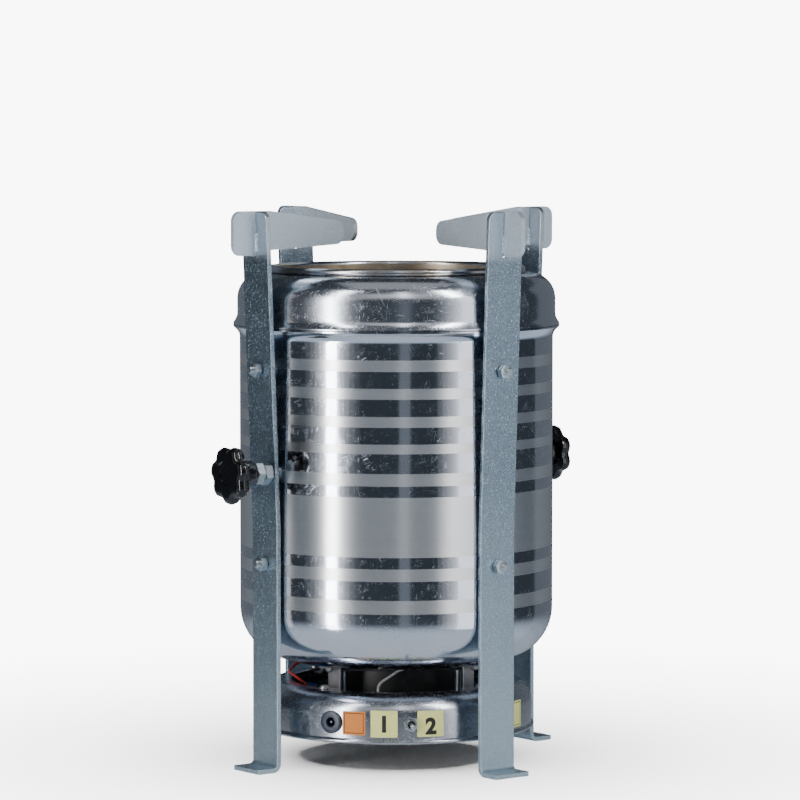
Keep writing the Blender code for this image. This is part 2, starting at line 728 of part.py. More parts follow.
def build_legs():
    """Bars bent out at the foot and leaning out at the top, drilled, with a slot for the support."""
    top_face = leg_face(LEG_TOP_Z) + LEG_THICKNESS / 2
    path = bent_path(
        [
            (LEG_OUTER + LEG_FOOT_REACH, LEG_THICKNESS / 2, 0.0),
            (LEG_MIDDLE, LEG_THICKNESS / 2, LEG_FOOT_BEND),
            (LEG_MIDDLE, LEG_BEND_Z, 0.0),
            (top_face, LEG_TOP_Z, 0.0),
        ]
    )
    slot_width = SUPPORT_THICKNESS + 2 * SEAT_GAP
    slot_bottom = SUPPORT_WING_BOTTOM_Z - SEAT_GAP
    slot_height = LEG_TOP_Z + LEG_THICKNESS - slot_bottom
    slot_size = (slot_width, slot_height, 4 * LEG_THICKNESS)
    slot_middle = slot_bottom + slot_height / 2
    slot = box_mesh("slot_box", slot_size, (0.0, slot_middle, leg_face(slot_middle) + LEG_THICKNESS / 2))
    bolt_hole = (BOLT_DIAMETER + HOLE_CLEARANCE) / 2
    stud_hole = (STUD_DIAMETER + HOLE_CLEARANCE) / 2
    reach = (LEG_INNER - 4, LEG_OUTER + 6)
    for corner, azimuth in LEG_AZIMUTHS.items():
        frame = place(azimuth)
        leg = strip("leg_" + corner, path, LEG_WIDTH, LEG_THICKNESS, GALVANISED, frame, LEG_TOP_CORNER)
        boolean(leg, tool("slot_" + corner, [(slot, frame)]))
        bolts = [place(azimuth, height=z) for z in (BOLT_LOW_Z, BOLT_HIGH_Z)]
        boolean(leg, holes("leg_holes_" + corner, bolt_hole, *reach, bolts))
        for side, home in KNOB_LEGS.items():
            if home == corner:
                boolean(leg, holes("stud_hole_" + side, stud_hole, *reach, [knob_frames()[side]]))


def build_supports():
    """Radial plates that carry the pot: wing outside the leg, level top, sloping inner arm."""
    tip_top = SUPPORT_TOP_Z - SUPPORT_TIP_DROP
    tip_bottom = tip_top - SUPPORT_TIP_HEIGHT
    face = leg_face(SUPPORT_WING_BOTTOM_Z)
    neck = face - SEAT_GAP
    wing = face + LEG_THICKNESS + SUPPORT_WING_REACH
    level = leg_face(SUPPORT_TOP_Z) - SUPPORT_LEVEL_INSET
    outline = rounded(
        [
            (wing, SUPPORT_WING_BOTTOM_Z, SUPPORT_CORNER),
            (wing, SUPPORT_TOP_Z, SUPPORT_CORNER),
            (level, SUPPORT_TOP_Z, SUPPORT_CORNER),
            (SUPPORT_TIP_RADIUS, tip_top, SUPPORT_CORNER),
            (SUPPORT_TIP_RADIUS, tip_bottom, SUPPORT_CORNER),
            (neck, SUPPORT_WING_BOTTOM_Z + SUPPORT_ARM_LIFT, 0.0),
            (neck, SUPPORT_WING_BOTTOM_Z, 0.0),
        ]
    )
    mesh = plate_mesh("pot_support", [outline], SUPPORT_THICKNESS)
    for corner, azimuth in LEG_AZIMUTHS.items():
        frame = place(azimuth) @ Matrix.Rotation(-math.pi / 2, 4, "Y")
        add_object("pot_support_" + corner, mesh, GALVANISED, frame)


def build_leg_bolts():
    """Bolts from inside the body, each with its nut; a spacer fills the gap to a leaning leg."""
    head_face = inside_wall(BODY_INNER, BOLT_HEAD_DIAMETER / 2)
    wall = BODY_RADIUS + SEAT_GAP
    shank = BOLT_DIAMETER / 2
    nut = plate_mesh("bolt_nut", [hexagon(BOLT_NUT_FLATS)], BOLT_NUT_HEIGHT)
    for level, height in (("low", BOLT_LOW_Z), ("high", BOLT_HIGH_Z)):
        spacer_end = leg_face(height - SPACER_DIAMETER / 2) - SEAT_GAP
        nut_face = leg_nut_face(height, BOLT_NUT_FLATS / 2)
        end = nut_face + BOLT_NUT_HEIGHT + BOLT_THREAD_SHOWN
        profile = [(0.0, end), (shank, end)]
        if spacer_end > wall + SEAT_GAP:
            profile += [
                (shank, spacer_end),
                (SPACER_DIAMETER / 2, spacer_end),
                (SPACER_DIAMETER / 2, wall),
                (shank, wall),
            ]
        profile += [
            (shank, head_face),
            (BOLT_HEAD_DIAMETER / 2, head_face),
            (0.6 * BOLT_HEAD_DIAMETER / 2, head_face - BOLT_HEAD_HEIGHT),
            (0.0, head_face - BOLT_HEAD_HEIGHT),
        ]
        seat = Matrix.Translation((0.0, 0.0, (nut_face + BOLT_NUT_HEIGHT / 2) * MM))
        for corner, azimuth in LEG_AZIMUTHS.items():
            name = f"leg_bolt_{level}_{corner}"
            frame = place(azimuth, height=height)
            bolt = turned(name, profile, ZINC, HOLE_SIDES, frame, closed=False)
            boolean(bolt, tool(name + "_nut", [(nut, frame @ seat)]), "UNION")


def star_outline():
    """Seven-lobed outline: round lobes with shallow valleys between them."""
    count = KNOB_LOBES * 5
    outline = []
    for k in range(count):
        turn = 2 * math.pi * k / count
        wave = (1 + math.cos(KNOB_LOBES * turn)) / 2
        radius = KNOB_DIAMETER / 2 - KNOB_LOBE_DEPTH * (1 - wave) ** 1.5
        outline.append((radius * math.cos(turn), radius * math.sin(turn)))
    return outline


def build_knobs():
    """Studs through body and leg, two nuts on each, and the moulded star knobs."""
    head_face = inside_wall(BODY_INNER, KNOB_OFFSET + STUD_HEAD_FLATS / math.sqrt(3))
    stud_end = knob_foot() + STUD_REACH_IN_KNOB
    nut_hole = circle((STUD_DIAMETER + HOLE_CLEARANCE) / 2, ROD_SIDES)
    nut = plate_mesh("stud_nut", [hexagon(STUD_NUT_FLATS), nut_hole], STUD_NUT_HEIGHT)
    for side, frame in knob_frames().items():
        shank = rod_mesh("shank", STUD_DIAMETER / 2, head_face - STUD_HEAD_HEIGHT / 2, stud_end)
        stud = add_object("knob_stud_" + side, shank, ZINC, frame)
        head = plate_mesh("stud_head", [hexagon(STUD_HEAD_FLATS)], STUD_HEAD_HEIGHT)
        seat = Matrix.Translation((0.0, 0.0, (head_face - STUD_HEAD_HEIGHT / 2) * MM))
        boolean(stud, tool("stud_head_" + side, [(head, frame @ seat)]), "UNION")
        for k in range(STUD_NUT_COUNT):
            foot = leg_nut_face(KNOB_Z, STUD_NUT_FLATS / 2) + k * (STUD_NUT_HEIGHT + SEAT_GAP)
            seat = Matrix.Translation((0.0, 0.0, (foot + STUD_NUT_HEIGHT / 2) * MM))
            add_object(f"knob_nut_{side}_{k + 1}", nut, ZINC, frame @ seat)

    middle = KNOB_HUB + KNOB_HEAD / 2
    star = plate_mesh("star", [star_outline()], KNOB_HEAD)
    hub_radius = KNOB_HUB_DIAMETER / 2
    hub_profile = [
        (0.0, middle),
        (hub_radius, middle),
        (hub_radius, KNOB_HUB),
        (KNOB_HUB_END_DIAMETER / 2, 0.0),
        (0.0, 0.0),
    ]
    bore = (STUD_DIAMETER + 2 * SEAT_GAP) / 2
    for side, frame in knob_frames(knob_foot()).items():
        head = star.copy()
        head.transform(Matrix.Rotation(math.radians(KNOB_TURNED[side]), 4, "Z"))
        head.transform(Matrix.Translation((0.0, 0.0, middle * MM)))
        knob = add_object("knob_" + side, head, BAKELITE, frame)
        edge = knob.modifiers.new("round_edges", "BEVEL")
        edge.width = KNOB_EDGE * MM
        edge.segments = 2
        edge.limit_method = "ANGLE"
        edge.angle_limit = math.radians(55)
        hub = turned("knob_hub_" + side, hub_profile, None, 16, frame, CUTTERS, closed=False)
        boolean(knob, hub, "UNION")
        depth = STUD_REACH_IN_KNOB + SEAT_GAP
        boolean(knob, holes("knob_bore_" + side, bore, -2.0, depth, [frame], ROD_SIDES))


def top_rivet_radius():
    return BRACKET_RADIUS + 0.5 * BRACKET_TOP_FLANGE


def low_rivet_radius():
    return HOUSING_OPENING_RADIUS + BRACKET_LOW_OVERLAP / 2


def build_housing():
    """Inverted dish with an open top and a rolled rim that holds the base plate."""
    shoulder_r = HOUSING_RADIUS - HOUSING_CORNER
    shoulder_z = HOUSING_TOP_Z - HOUSING_CORNER
    lip = HOUSING_RADIUS - HOUSING_LIP
    bead_r = HOUSING_RADIUS + HOUSING_BEAD
    profile = [(HOUSING_OPENING_RADIUS, HOUSING_TOP_Z)]
    profile += arc(shoulder_r, shoulder_z, HOUSING_CORNER, 90, 0, 4)
    profile += [
        (HOUSING_RADIUS, HOUSING_BOTTOM_Z + 2.4 * HOUSING_BEAD),
        (bead_r, HOUSING_BOTTOM_Z + 1.7 * HOUSING_BEAD),
        (bead_r, HOUSING_BOTTOM_Z + 0.6 * HOUSING_BEAD),
        (HOUSING_RADIUS, HOUSING_BOTTOM_Z),
        (lip, HOUSING_BOTTOM_Z),
        (lip, HOUSING_BOTTOM_Z + SHEET),
        (HOUSING_INNER, HOUSING_BOTTOM_Z + SHEET),
    ]
    profile += arc(shoulder_r, shoulder_z, HOUSING_CORNER - SHEET, 0, 90, HOUSING_INNER_STEPS)
    profile += [(HOUSING_OPENING_RADIUS, HOUSING_TOP_Z - SHEET)]
    housing = turned("fan_housing", profile, POLISHED)
    wall = (HOUSING_INNER - 4, HOUSING_RADIUS + 4)
    jack_hole = (JACK_BARREL_DIAMETER + HOLE_CLEARANCE) / 2
    switch_hole = (BUSHING_DIAMETER + HOLE_CLEARANCE) / 2
    boolean(housing, holes("jack_hole", jack_hole, *wall, [place(JACK_AZIMUTH, height=PANEL_Z)], ROD_SIDES))
    boolean(
        housing, holes("switch_hole", switch_hole, *wall, [place(SWITCH_AZIMUTH, height=PANEL_Z)], ROD_SIDES)
    )
    top = (HOUSING_TOP_Z - SHEET - 1, HOUSING_TOP_Z + 1)
    rivet_hole = (RIVET_DIAMETER + HOLE_CLEARANCE) / 2
    rivets = corner_frames(low_rivet_radius())
    boolean(housing, holes("housing_rivet_holes", rivet_hole, *top, rivets, RIVET_SIDES))

    base = plate_mesh(
        "housing_base", [circle(HOUSING_INNER - BASE_CLEARANCE, SHELL_SEGMENTS)], BASE_THICKNESS
    )
    add_object("housing_base", base, SATIN, upright(height=BASE_Z + BASE_THICKNESS / 2))


def build_brackets():
    """Channel brackets, each riveted up to the body's floor and up to the housing's top."""
    top = BODY_FLOOR_Z - SEAT_GAP - BRACKET_THICKNESS / 2
    low = HOUSING_TOP_Z - SHEET - SEAT_GAP - BRACKET_THICKNESS / 2
    path = bent_path(
        [
            (BRACKET_RADIUS + BRACKET_TOP_FLANGE, top, 0.0),
            (BRACKET_RADIUS, top, BRACKET_BEND),
            (BRACKET_RADIUS, low, BRACKET_BEND),
            (HOUSING_OPENING_RADIUS + BRACKET_LOW_OVERLAP, low, 0.0),
        ],
        steps=2,
    )
    grip = SHEET + BRACKET_THICKNESS + 3 * SEAT_GAP
    head = RIVET_HEAD_DIAMETER / 2
    shank = RIVET_DIAMETER / 2
    profile = [
        (0.0, grip / 2 + RIVET_HEAD_HEIGHT),
        (0.6 * head, grip / 2 + RIVET_HEAD_HEIGHT),
        (head, grip / 2),
        (shank, grip / 2),
        (shank, -grip / 2 + 2 * SEAT_GAP),
        (head, -grip / 2 + 2 * SEAT_GAP),
        (0.6 * head, -grip / 2 - RIVET_HEAD_HEIGHT),
        (0.0, -grip / 2 - RIVET_HEAD_HEIGHT),
    ]
    rivet = bake(turned("rivet", profile, None, RIVET_SIDES, home=CUTTERS, closed=False))
    upper = BODY_FLOOR_Z + (SHEET - SEAT_GAP - BRACKET_THICKNESS) / 2
    lower = HOUSING_TOP_Z - (SHEET + SEAT_GAP + BRACKET_THICKNESS) / 2
    for name, azimuth in zip(CORNER_NAMES, CORNER_AZIMUTHS):
        bracket = strip(
            "bracket_" + name, path, BRACKET_WIDTH, BRACKET_THICKNESS, SATIN, place(azimuth)
        )
        frames = [
            upright(azimuth, top_rivet_radius(), upper),
            upright(azimuth, low_rivet_radius(), lower),
        ]
        rivets = tool("rivets_" + name, [(rivet, frame) for frame in frames])
        boolean(bracket, rivets, "UNION")


def fan_square(corner=FAN_CORNER):
    half = FAN_SIZE / 2
    signs = ((1, -1), (1, 1), (-1, 1), (-1, -1))
    return rounded([(x * half, y * half, corner) for x, y in signs])


def build_fan_frame():
    """Square plates at both ends of a round duct, motor seat on four struts at the outlet."""
    half_pitch = FAN_HOLE_PITCH / 2
    middle = FAN_TOP_Z - FAN_HEIGHT / 2
    frame = upright(FAN_AZIMUTH, height=middle)
    duct = rod_mesh("fan_duct", FAN_BORE_RADIUS + FAN_DUCT_WALL, -FAN_HEIGHT / 2 + 1, FAN_HEIGHT / 2 - 1, FAN_SIDES)
    fan = add_object("fan_frame", duct, BLACK_PLASTIC, frame)
    rise = FAN_HEIGHT / 2 - FAN_PLATE / 2
    flange = plate_mesh("fan_flange", [fan_square()], FAN_PLATE)
    for end, height in (("low", -rise), ("high", rise)):
        lift = Matrix.Translation((0.0, 0.0, height * MM))
        boolean(fan, tool("fan_flange_" + end, [(flange, frame @ lift)]), "UNION")
    reach = (-FAN_HEIGHT / 2 - 1, FAN_HEIGHT / 2 + 1)
    boolean(fan, holes("fan_bore", FAN_BORE_RADIUS, *reach, [frame], FAN_SIDES))
    shifts = [(x * half_pitch * MM, y * half_pitch * MM, 0.0) for x in (-1, 1) for y in (-1, 1)]
    screw_frames = [frame @ Matrix.Translation(shift) for shift in shifts]
    boolean(fan, holes("fan_screw_holes", (FAN_SCREW_DIAMETER + HOLE_CLEARANCE) / 2, *reach, screw_frames))

    strut_top = FAN_HEIGHT / 2 - FAN_STRUT_INSET
    seat_bottom = strut_top - FAN_STRUT_HEIGHT
    strut_root = MOTOR_RADIUS - FAN_STRUT_WIDTH
    strut_length = FAN_BORE_RADIUS + FAN_DUCT_WALL / 2 - strut_root
    centre = (strut_root + strut_length / 2, 0.0, strut_top - FAN_STRUT_HEIGHT / 2)
    strut = box_mesh("strut", (strut_length, FAN_STRUT_WIDTH, FAN_STRUT_HEIGHT), centre)
    quarter = 360.0 / FAN_STRUT_COUNT
    turns = [Matrix.Rotation(math.radians(quarter * k), 4, "Z") for k in range(FAN_STRUT_COUNT)]
    boolean(fan, tool("fan_struts", [(strut, frame @ turn) for turn in turns]), "UNION")
    seat = rod_mesh("motor_seat", MOTOR_RADIUS, seat_bottom - SEAT_GAP, strut_top + SEAT_GAP / 2, 24)
    boolean(fan, tool("motor_seat", [(seat, frame)]), "UNION")
    tube_bottom = seat_bottom - STATOR_HEIGHT - 3 * SEAT_GAP
    tube = rod_mesh("bearing_tube", BEARING_RADIUS, tube_bottom, strut_top - 1)
    boolean(fan, tool("bearing_tube", [(tube, frame)]), "UNION")
    bearing = rod_mesh("bearing_bore", SHAFT_RADIUS + SHAFT_CLEARANCE, tube_bottom - 1, strut_top - 1)
    boolean(fan, tool("bearing_bore", [(bearing, frame)]))

    stator_top = middle + seat_bottom - 2 * SEAT_GAP
    stator_outline = [circle(STATOR_RADIUS, 24), circle(BEARING_RADIUS + SEAT_GAP, ROD_SIDES)]
    stator = plate_mesh("fan_stator", stator_outline, STATOR_HEIGHT)
    add_object("fan_stator", stator, COPPER, upright(height=stator_top - STATOR_HEIGHT / 2))


def blade_surface(turn):
    """Open twisted sheet of one blade, from inside the hub's wall to the tip, in the fan's frame."""
    root = ROTOR_HUB_RADIUS - ROTOR_WALL / 2
    tip = FAN_BORE_RADIUS - BLADE_TIP_GAP
    sheet = bmesh.new()
    rows = []
    for i in range(BLADE_SEGMENTS + 1):
        share = i / BLADE_SEGMENTS
        radius = root + (tip - root) * share
        sweep = math.radians(BLADE_ROOT_SWEEP + (BLADE_TIP_SWEEP - BLADE_ROOT_SWEEP) * share)
        row = []
        for j in range(BLADE_SEGMENTS + 1):
            along = j / BLADE_SEGMENTS
            bow = BLADE_CAMBER * math.sin(math.pi * along)
            angle = turn + sweep * (along - 0.5)
            height = BLADE_HEIGHT * (along - 0.5) + bow
            point = Vector((radius * math.cos(angle), radius * math.sin(angle), height))
            row.append(sheet.verts.new(point * MM))
        rows.append(row)
    for low, high in zip(rows, rows[1:]):
        for j in range(BLADE_SEGMENTS):
            sheet.faces.new((low[j], high[j], high[j + 1], low[j + 1]))
    mesh = bpy.data.meshes.new("blade")
    sheet.to_mesh(mesh)
    sheet.free()
    return mesh


def build_fan_rotor():
    """Cup-shaped hub open to the motor, shaft up into the bearing, twisted blades round it."""
    middle = FAN_TOP_Z - FAN_HEIGHT / 2
    floor = -FAN_HEIGHT / 2 + ROTOR_FLOOR_LIFT
    seat_bottom = FAN_HEIGHT / 2 - FAN_STRUT_INSET - FAN_STRUT_HEIGHT
    top = seat_bottom - ROTOR_TOP_GAP
    inner = ROTOR_HUB_RADIUS - ROTOR_WALL
    shaft_top = seat_bottom
    profile = [
        (0.0, shaft_top),
        (SHAFT_RADIUS, shaft_top),
        (SHAFT_RADIUS, floor + ROTOR_WALL),
        (inner, floor + ROTOR_WALL),
        (inner, top),
        (ROTOR_HUB_RADIUS, top),
        (ROTOR_HUB_RADIUS, floor + 1.5),
        (ROTOR_HUB_RADIUS - 1.5, floor),
        (0.0, floor),
    ]
    frame = upright(FAN_AZIMUTH, height=middle)
    rotor = turned("fan_rotor", profile, BLACK_PLASTIC, 24, frame, closed=False)
    turns = [2 * math.pi * k / BLADE_COUNT for k in range(BLADE_COUNT)]
    identity = Matrix.Identity(4)
    blades = joined("blades", [(blade_surface(turn), identity) for turn in turns])
    fins = add_object("rotor_blades", blades, None, frame, CUTTERS)
    wall = fins.modifiers.new("thickness", "SOLIDIFY")
    wall.thickness = BLADE_THICKNESS * MM
    wall.offset = 0.0
    boolean(rotor, fins, "UNION")


def build_fan_screws():
    """Screws from below through the fan's corners, each with its nut on the body's floor."""
    bottom = FAN_BOTTOM_Z - SEAT_GAP
    nut_bottom = FLOOR_TOP_Z + SEAT_GAP
    end = nut_bottom + FAN_NUT_HEIGHT + FAN_SCREW_END
    head = FAN_SCREW_HEAD_DIAMETER / 2
    profile = [
        (0.0, end),
        (FAN_SCREW_DIAMETER / 2, end),
        (FAN_SCREW_DIAMETER / 2, bottom),
        (head, bottom),
        (head, bottom - 0.5 * FAN_SCREW_HEAD_HEIGHT),
        (0.6 * head, bottom - FAN_SCREW_HEAD_HEIGHT),
        (0.0, bottom - FAN_SCREW_HEAD_HEIGHT),
    ]
    radius = FAN_HOLE_PITCH / math.sqrt(2)
    nut = plate_mesh("fan_nut", [hexagon(FAN_NUT_FLATS)], FAN_NUT_HEIGHT)
    seat = Matrix.Translation((0.0, 0.0, (nut_bottom + FAN_NUT_HEIGHT / 2) * MM))
    for name, frame in zip(CORNER_NAMES, corner_frames(radius)):
        screw = turned("fan_screw_" + name, profile, ZINC, HOLE_SIDES, frame, closed=False)
        boolean(screw, tool("fan_nut_" + name, [(nut, frame @ seat)]), "UNION")


def cell_radius_from_axis():
    return FAN_SIZE / 2 + CELL_FAN_CLEARANCE + CELL_DIAMETER / 2


def cell_frame(azimuth):
    """A frame in the middle of a cell whose Z runs along the cell, towards its button."""
    axis_z = BASE_TOP_Z + CRADLE_FLOOR + 2 * SEAT_GAP + CELL_DIAMETER / 2
    return place(azimuth, cell_radius_from_axis(), axis_z) @ Matrix.Rotation(math.pi / 2, 4, "Y")


def build_cells():
    """One rechargeable cell in a trough on each side of the fan."""
    radius = cell_radius_from_axis()
    foot = BASE_TOP_Z + SEAT_GAP
    half = CELL_LENGTH / 2
    cell_radius = CELL_DIAMETER / 2
    profile = [
        (0.0, half),
        (0.3 * cell_radius, half),
        (0.3 * cell_radius, half - 1.0),
        (cell_radius, half - 1.0),
        (cell_radius, -half),
        (0.0, -half),
    ]
    shape = bake(turned("cell", profile, CELL_WRAP, 16, closed=False))
    length = CELL_LENGTH + 2 * (CRADLE_END + SEAT_GAP)
    for name, azimuth in (("right", FAN_AZIMUTH + 90.0), ("left", FAN_AZIMUTH - 90.0)):
        lying = cell_frame(azimuth)
        add_object("cell_" + name, shape, CELL_WRAP, lying)
        block = box_mesh("cradle", (length, CRADLE_HEIGHT, CRADLE_WIDTH))
        middle = foot + CRADLE_HEIGHT / 2
        cradle = add_object("cell_cradle_" + name, block, BLACK_PLASTIC, place(azimuth, radius, middle))
        reach = half + SEAT_GAP
        boolean(cradle, holes("trough_" + name, cell_radius + SEAT_GAP, -reach, reach, [lying], 16))


def build_board():
    """Charge board on two posts behind the fan, with its larger components."""
    foot = BASE_TOP_Z + SEAT_GAP
    azimuth = FAN_AZIMUTH + 180.0
    top = foot + BOARD_LIFT + BOARD_THICKNESS
    radius = FAN_SIZE / 2 + BOARD_FAN_CLEARANCE + BOARD_WIDTH / 2
    frame = upright(azimuth, radius)
    sheet = box_mesh(
        "board", (BOARD_LENGTH, BOARD_WIDTH, BOARD_THICKNESS), (0.0, 0.0, top - BOARD_THICKNESS / 2)
    )
    board = add_object("charge_board", sheet, BOARD_GREEN, frame)
    post = rod_mesh("post", 2.5, foot, foot + BOARD_LIFT + BOARD_THICKNESS / 2, HOLE_SIDES)
    posts = [(post, upright(azimuth, radius, side=s * (BOARD_LENGTH / 2 - 4))) for s in (-1, 1)]
    boolean(board, tool("board_posts", posts), "UNION")
    sunk = BOARD_THICKNESS / 2
    chip = box_mesh("chip", (8.0, 6.0, 2.0 + sunk), (6.0, 0.0, top + (2.0 - sunk) / 2))
    coil = rod_mesh("coil", 4.0, top - sunk, top + 4.0, ROD_SIDES)
    can = rod_mesh("can", 2.5, top - sunk, top + 7.0, ROD_SIDES)
    shift = Matrix.Translation
    parts = [(chip, frame), (coil, frame @ shift((-0.006, 0.0, 0.0))), (can, frame @ shift((-0.013, 0.004, 0.0)))]
    boolean(board, tool("board_parts", parts), "UNION")


def build_jack():
    """Power socket: flange outside the wall, barrel and nut inside, pin in the hole."""
    flange_back = HOUSING_RADIUS + SEAT_GAP
    face = flange_back + JACK_FLANGE_HEIGHT
    barrel = JACK_BARREL_DIAMETER / 2
    rear = HOUSING_RADIUS - JACK_BARREL_LENGTH
    hole = JACK_HOLE_DIAMETER / 2
    hole_floor = face - JACK_HOLE_DEPTH
    profile = [
        (hole, face),
        (JACK_FLANGE_DIAMETER / 2 - 0.5, face),
        (JACK_FLANGE_DIAMETER / 2, face - 0.5),
        (JACK_FLANGE_DIAMETER / 2, flange_back),
        (barrel, flange_back),
        (barrel, rear),
        (0.0, rear),
        (0.0, hole_floor),
        (hole, hole_floor),
    ]
    frame = place(JACK_AZIMUTH, height=PANEL_Z)
    turned("dc_jack", profile[-2:] + profile[:-2], BLUE_PLASTIC, 16, frame, closed=False)
    pin = rod_mesh("pin", JACK_PIN_DIAMETER / 2, hole_floor + SEAT_GAP, face - 1.0, HOLE_SIDES)
    add_object("dc_jack_pin", pin, ZINC, frame)
    wall = inside_wall(housing_wall(PANEL_Z + JACK_NUT_FLATS / 2), JACK_NUT_FLATS / math.sqrt(3))
    nut_outline = [hexagon(JACK_NUT_FLATS, phase=0.0), circle(barrel + SEAT_GAP, 16)]
    nut = plate_mesh("dc_jack_nut", nut_outline, JACK_NUT_HEIGHT)
    add_object("dc_jack_nut", nut, ZINC, place(JACK_AZIMUTH, wall - JACK_NUT_HEIGHT / 2, PANEL_Z))


def switch_case_face():
    return inside_wall(HOUSING_INNER, SWITCH_CASE[0] / 2)


def terminal_end():
    """Radius of the inner ends of the switch's terminals."""
    return switch_case_face() - SWITCH_CASE[2] + TERMINAL_SUNK - TERMINAL_SIZE[2]


def build_switch():
    """Miniature toggle: case and terminals inside, bushing through the wall, nut, lever."""
    frame = place(SWITCH_AZIMUTH, height=PANEL_Z)
    nut_back = HOUSING_RADIUS + SEAT_GAP
    bushing_end = HOUSING_RADIUS + BUSHING_LENGTH
    width, height, depth = SWITCH_CASE
    case_face = switch_case_face()
    case = box_mesh("switch_case", (width, height, depth), (0.0, 0.0, case_face - depth / 2))
    switch = add_object("switch_case", case, BLUE_PLASTIC, frame)
    foot = case_face + SEAT_GAP
    pivot = bushing_end - LEVER_PIVOT_DEPTH
    profile = [
        (BUSHING_MOUTH_RADIUS, bushing_end),
        (BUSHING_DIAMETER / 2, bushing_end),
        (BUSHING_DIAMETER / 2, foot),
        (BUSHING_BORE_RADIUS, foot),
        (BUSHING_BORE_RADIUS, pivot),
    ]
    turned("switch_bushing", profile, ZINC, 16, frame)
    nut_outline = [hexagon(SWITCH_NUT_FLATS), circle(BUSHING_DIAMETER / 2 + SEAT_GAP, 16)]
    nut = plate_mesh("switch_nut", nut_outline, SWITCH_NUT_HEIGHT)
    add_object("switch_nut", nut, ZINC, place(SWITCH_AZIMUTH, nut_back + SWITCH_NUT_HEIGHT / 2, PANEL_Z))

    tip = LEVER_PIVOT_DEPTH + LEVER_LENGTH
    shape = [(0.0, tip)]
    shape += arc(0.0, tip - LEVER_TIP_RADIUS, LEVER_TIP_RADIUS, 60, 0, 2)
    shape += [(LEVER_ROOT_RADIUS, math.sqrt(LEVER_BALL_RADIUS**2 - LEVER_ROOT_RADIUS**2))]
    shape += arc(0.0, 0.0, LEVER_BALL_RADIUS, 30, -60, 3)
    shape += [(0.0, -LEVER_BALL_RADIUS)]
    turned("switch_lever", shape, ZINC, HOLE_SIDES, place(SWITCH_AZIMUTH, pivot, PANEL_Z), closed=False)

    size = TERMINAL_SIZE
    rear = terminal_end() + size[2] / 2
    terminal = box_mesh("terminal", size)
    frames = [place(SWITCH_AZIMUTH, rear, PANEL_Z, k * TERMINAL_PITCH) for k in (-1, 0, 1)]
    boolean(switch, tool("switch_terminals", [(terminal, pin) for pin in frames]), "UNION")


def smooth_route(points):
    """Points every few diameters along a smooth curve through these points."""
    before = [points[0], *points[:-1]]
    after = [*points[1:], points[-1]]
    bends = [(b - a) / 6 for a, b in zip(before, after)]
    route = []
    for k in range(len(points) - 1):
        start, end = points[k], points[k + 1]
        steps = max(2, round((end - start).length / (2.5 * LEAD_DIAMETER * MM)) + 1)
        route += interpolate_bezier(start, start + bends[k], end - bends[k + 1], end, steps)[:-1]
    return [*route, points[-1]]


def lead(name, start, middle, end, finish):
    """Insulated wire that leaves each end along the Z of its frame and bends through the middle."""
    straight = Vector((0.0, 0.0, 2 * LEAD_DIAMETER * MM))
    points = [start.translation, start @ straight, *scaled(middle), end @ straight, end.translation]
    wire = bpy.data.curves.new(name, "CURVE")
    wire.dimensions = "3D"
    wire.bevel_depth = LEAD_DIAMETER / 2 * MM
    wire.bevel_resolution = 2
    wire.use_fill_caps = True
    route = smooth_route(points)
    spline = wire.splines.new("POLY")
    spline.points.add(len(route) - 1)
    for point, spot in zip(spline.points, route):
        point.co = (*spot, 1.0)
    add_object(name, wire, finish)


def build_leads():
    """White lead from the switch to the fan, red lead from a cell out through the gap to the fan."""
    plate_z = FAN_TOP_Z - FAN_PLATE / 2
    fan_side = FAN_SIZE / 2 + SEAT_GAP
    inward = Matrix.Rotation(math.pi, 4, "Y")
    terminal = place(SWITCH_AZIMUTH, terminal_end() - SEAT_GAP, PANEL_Z) @ inward
    front = place(FAN_AZIMUTH, fan_side, plate_z, LEAD_PLATE_SHIFT)
    lead("lead_white", terminal, WHITE_LEAD_BENDS, front, WHITE_WIRE)
    lift = Matrix.Translation(Vector((0.0, LEAD_DIAMETER / 2, CELL_LENGTH / 2 + SEAT_GAP)) * MM)
    button = cell_frame(FAN_AZIMUTH - 90.0) @ lift
    left = place(FAN_AZIMUTH - 90.0, fan_side, plate_z, -LEAD_PLATE_SHIFT)
    lead("lead_red", button, RED_LEAD_BENDS, left, RED_WIRE)


build_body()
build_dome()
build_burner_ring()
build_chamber()
build_deflector()
build_legs()
build_supports()
build_leg_bolts()
build_knobs()
build_housing()
build_brackets()
build_fan_frame()
build_fan_rotor()
build_fan_screws()
build_cells()
build_board()
build_jack()
build_switch()
build_leads()
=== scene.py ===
"""The finished look of a forced-draft biomass cooking stove, built on its frame.

Lengths are metres, +Z is up and the panel with the switch faces -Y. An azimuth is an angle about +Z in
degrees: 0 points to the front and 90 to +X.
"""

import math

import bmesh
import bpy
from bpy.props import FloatProperty, FloatVectorProperty, IntProperty, PointerProperty
from bpy.types import Operator, Panel, PropertyGroup
from mathutils import Matrix, Vector
from mathutils.geometry import interpolate_bezier


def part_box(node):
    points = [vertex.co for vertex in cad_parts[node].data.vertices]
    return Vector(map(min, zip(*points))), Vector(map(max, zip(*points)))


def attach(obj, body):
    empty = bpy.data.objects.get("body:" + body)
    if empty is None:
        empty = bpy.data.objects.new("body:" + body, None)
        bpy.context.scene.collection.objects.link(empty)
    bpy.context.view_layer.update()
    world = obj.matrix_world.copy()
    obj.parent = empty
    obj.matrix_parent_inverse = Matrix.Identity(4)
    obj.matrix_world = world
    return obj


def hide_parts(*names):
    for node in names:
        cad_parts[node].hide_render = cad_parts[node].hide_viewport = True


bl_info = {
    "name": "Biomass Stove",
    "version": (1, 0, 0),
    "blender": (4, 5, 0),
    "location": "View3D > Sidebar > Stove",
    "description": "Builds the finished look of a biomass cooking stove",
    "category": "Object",
}

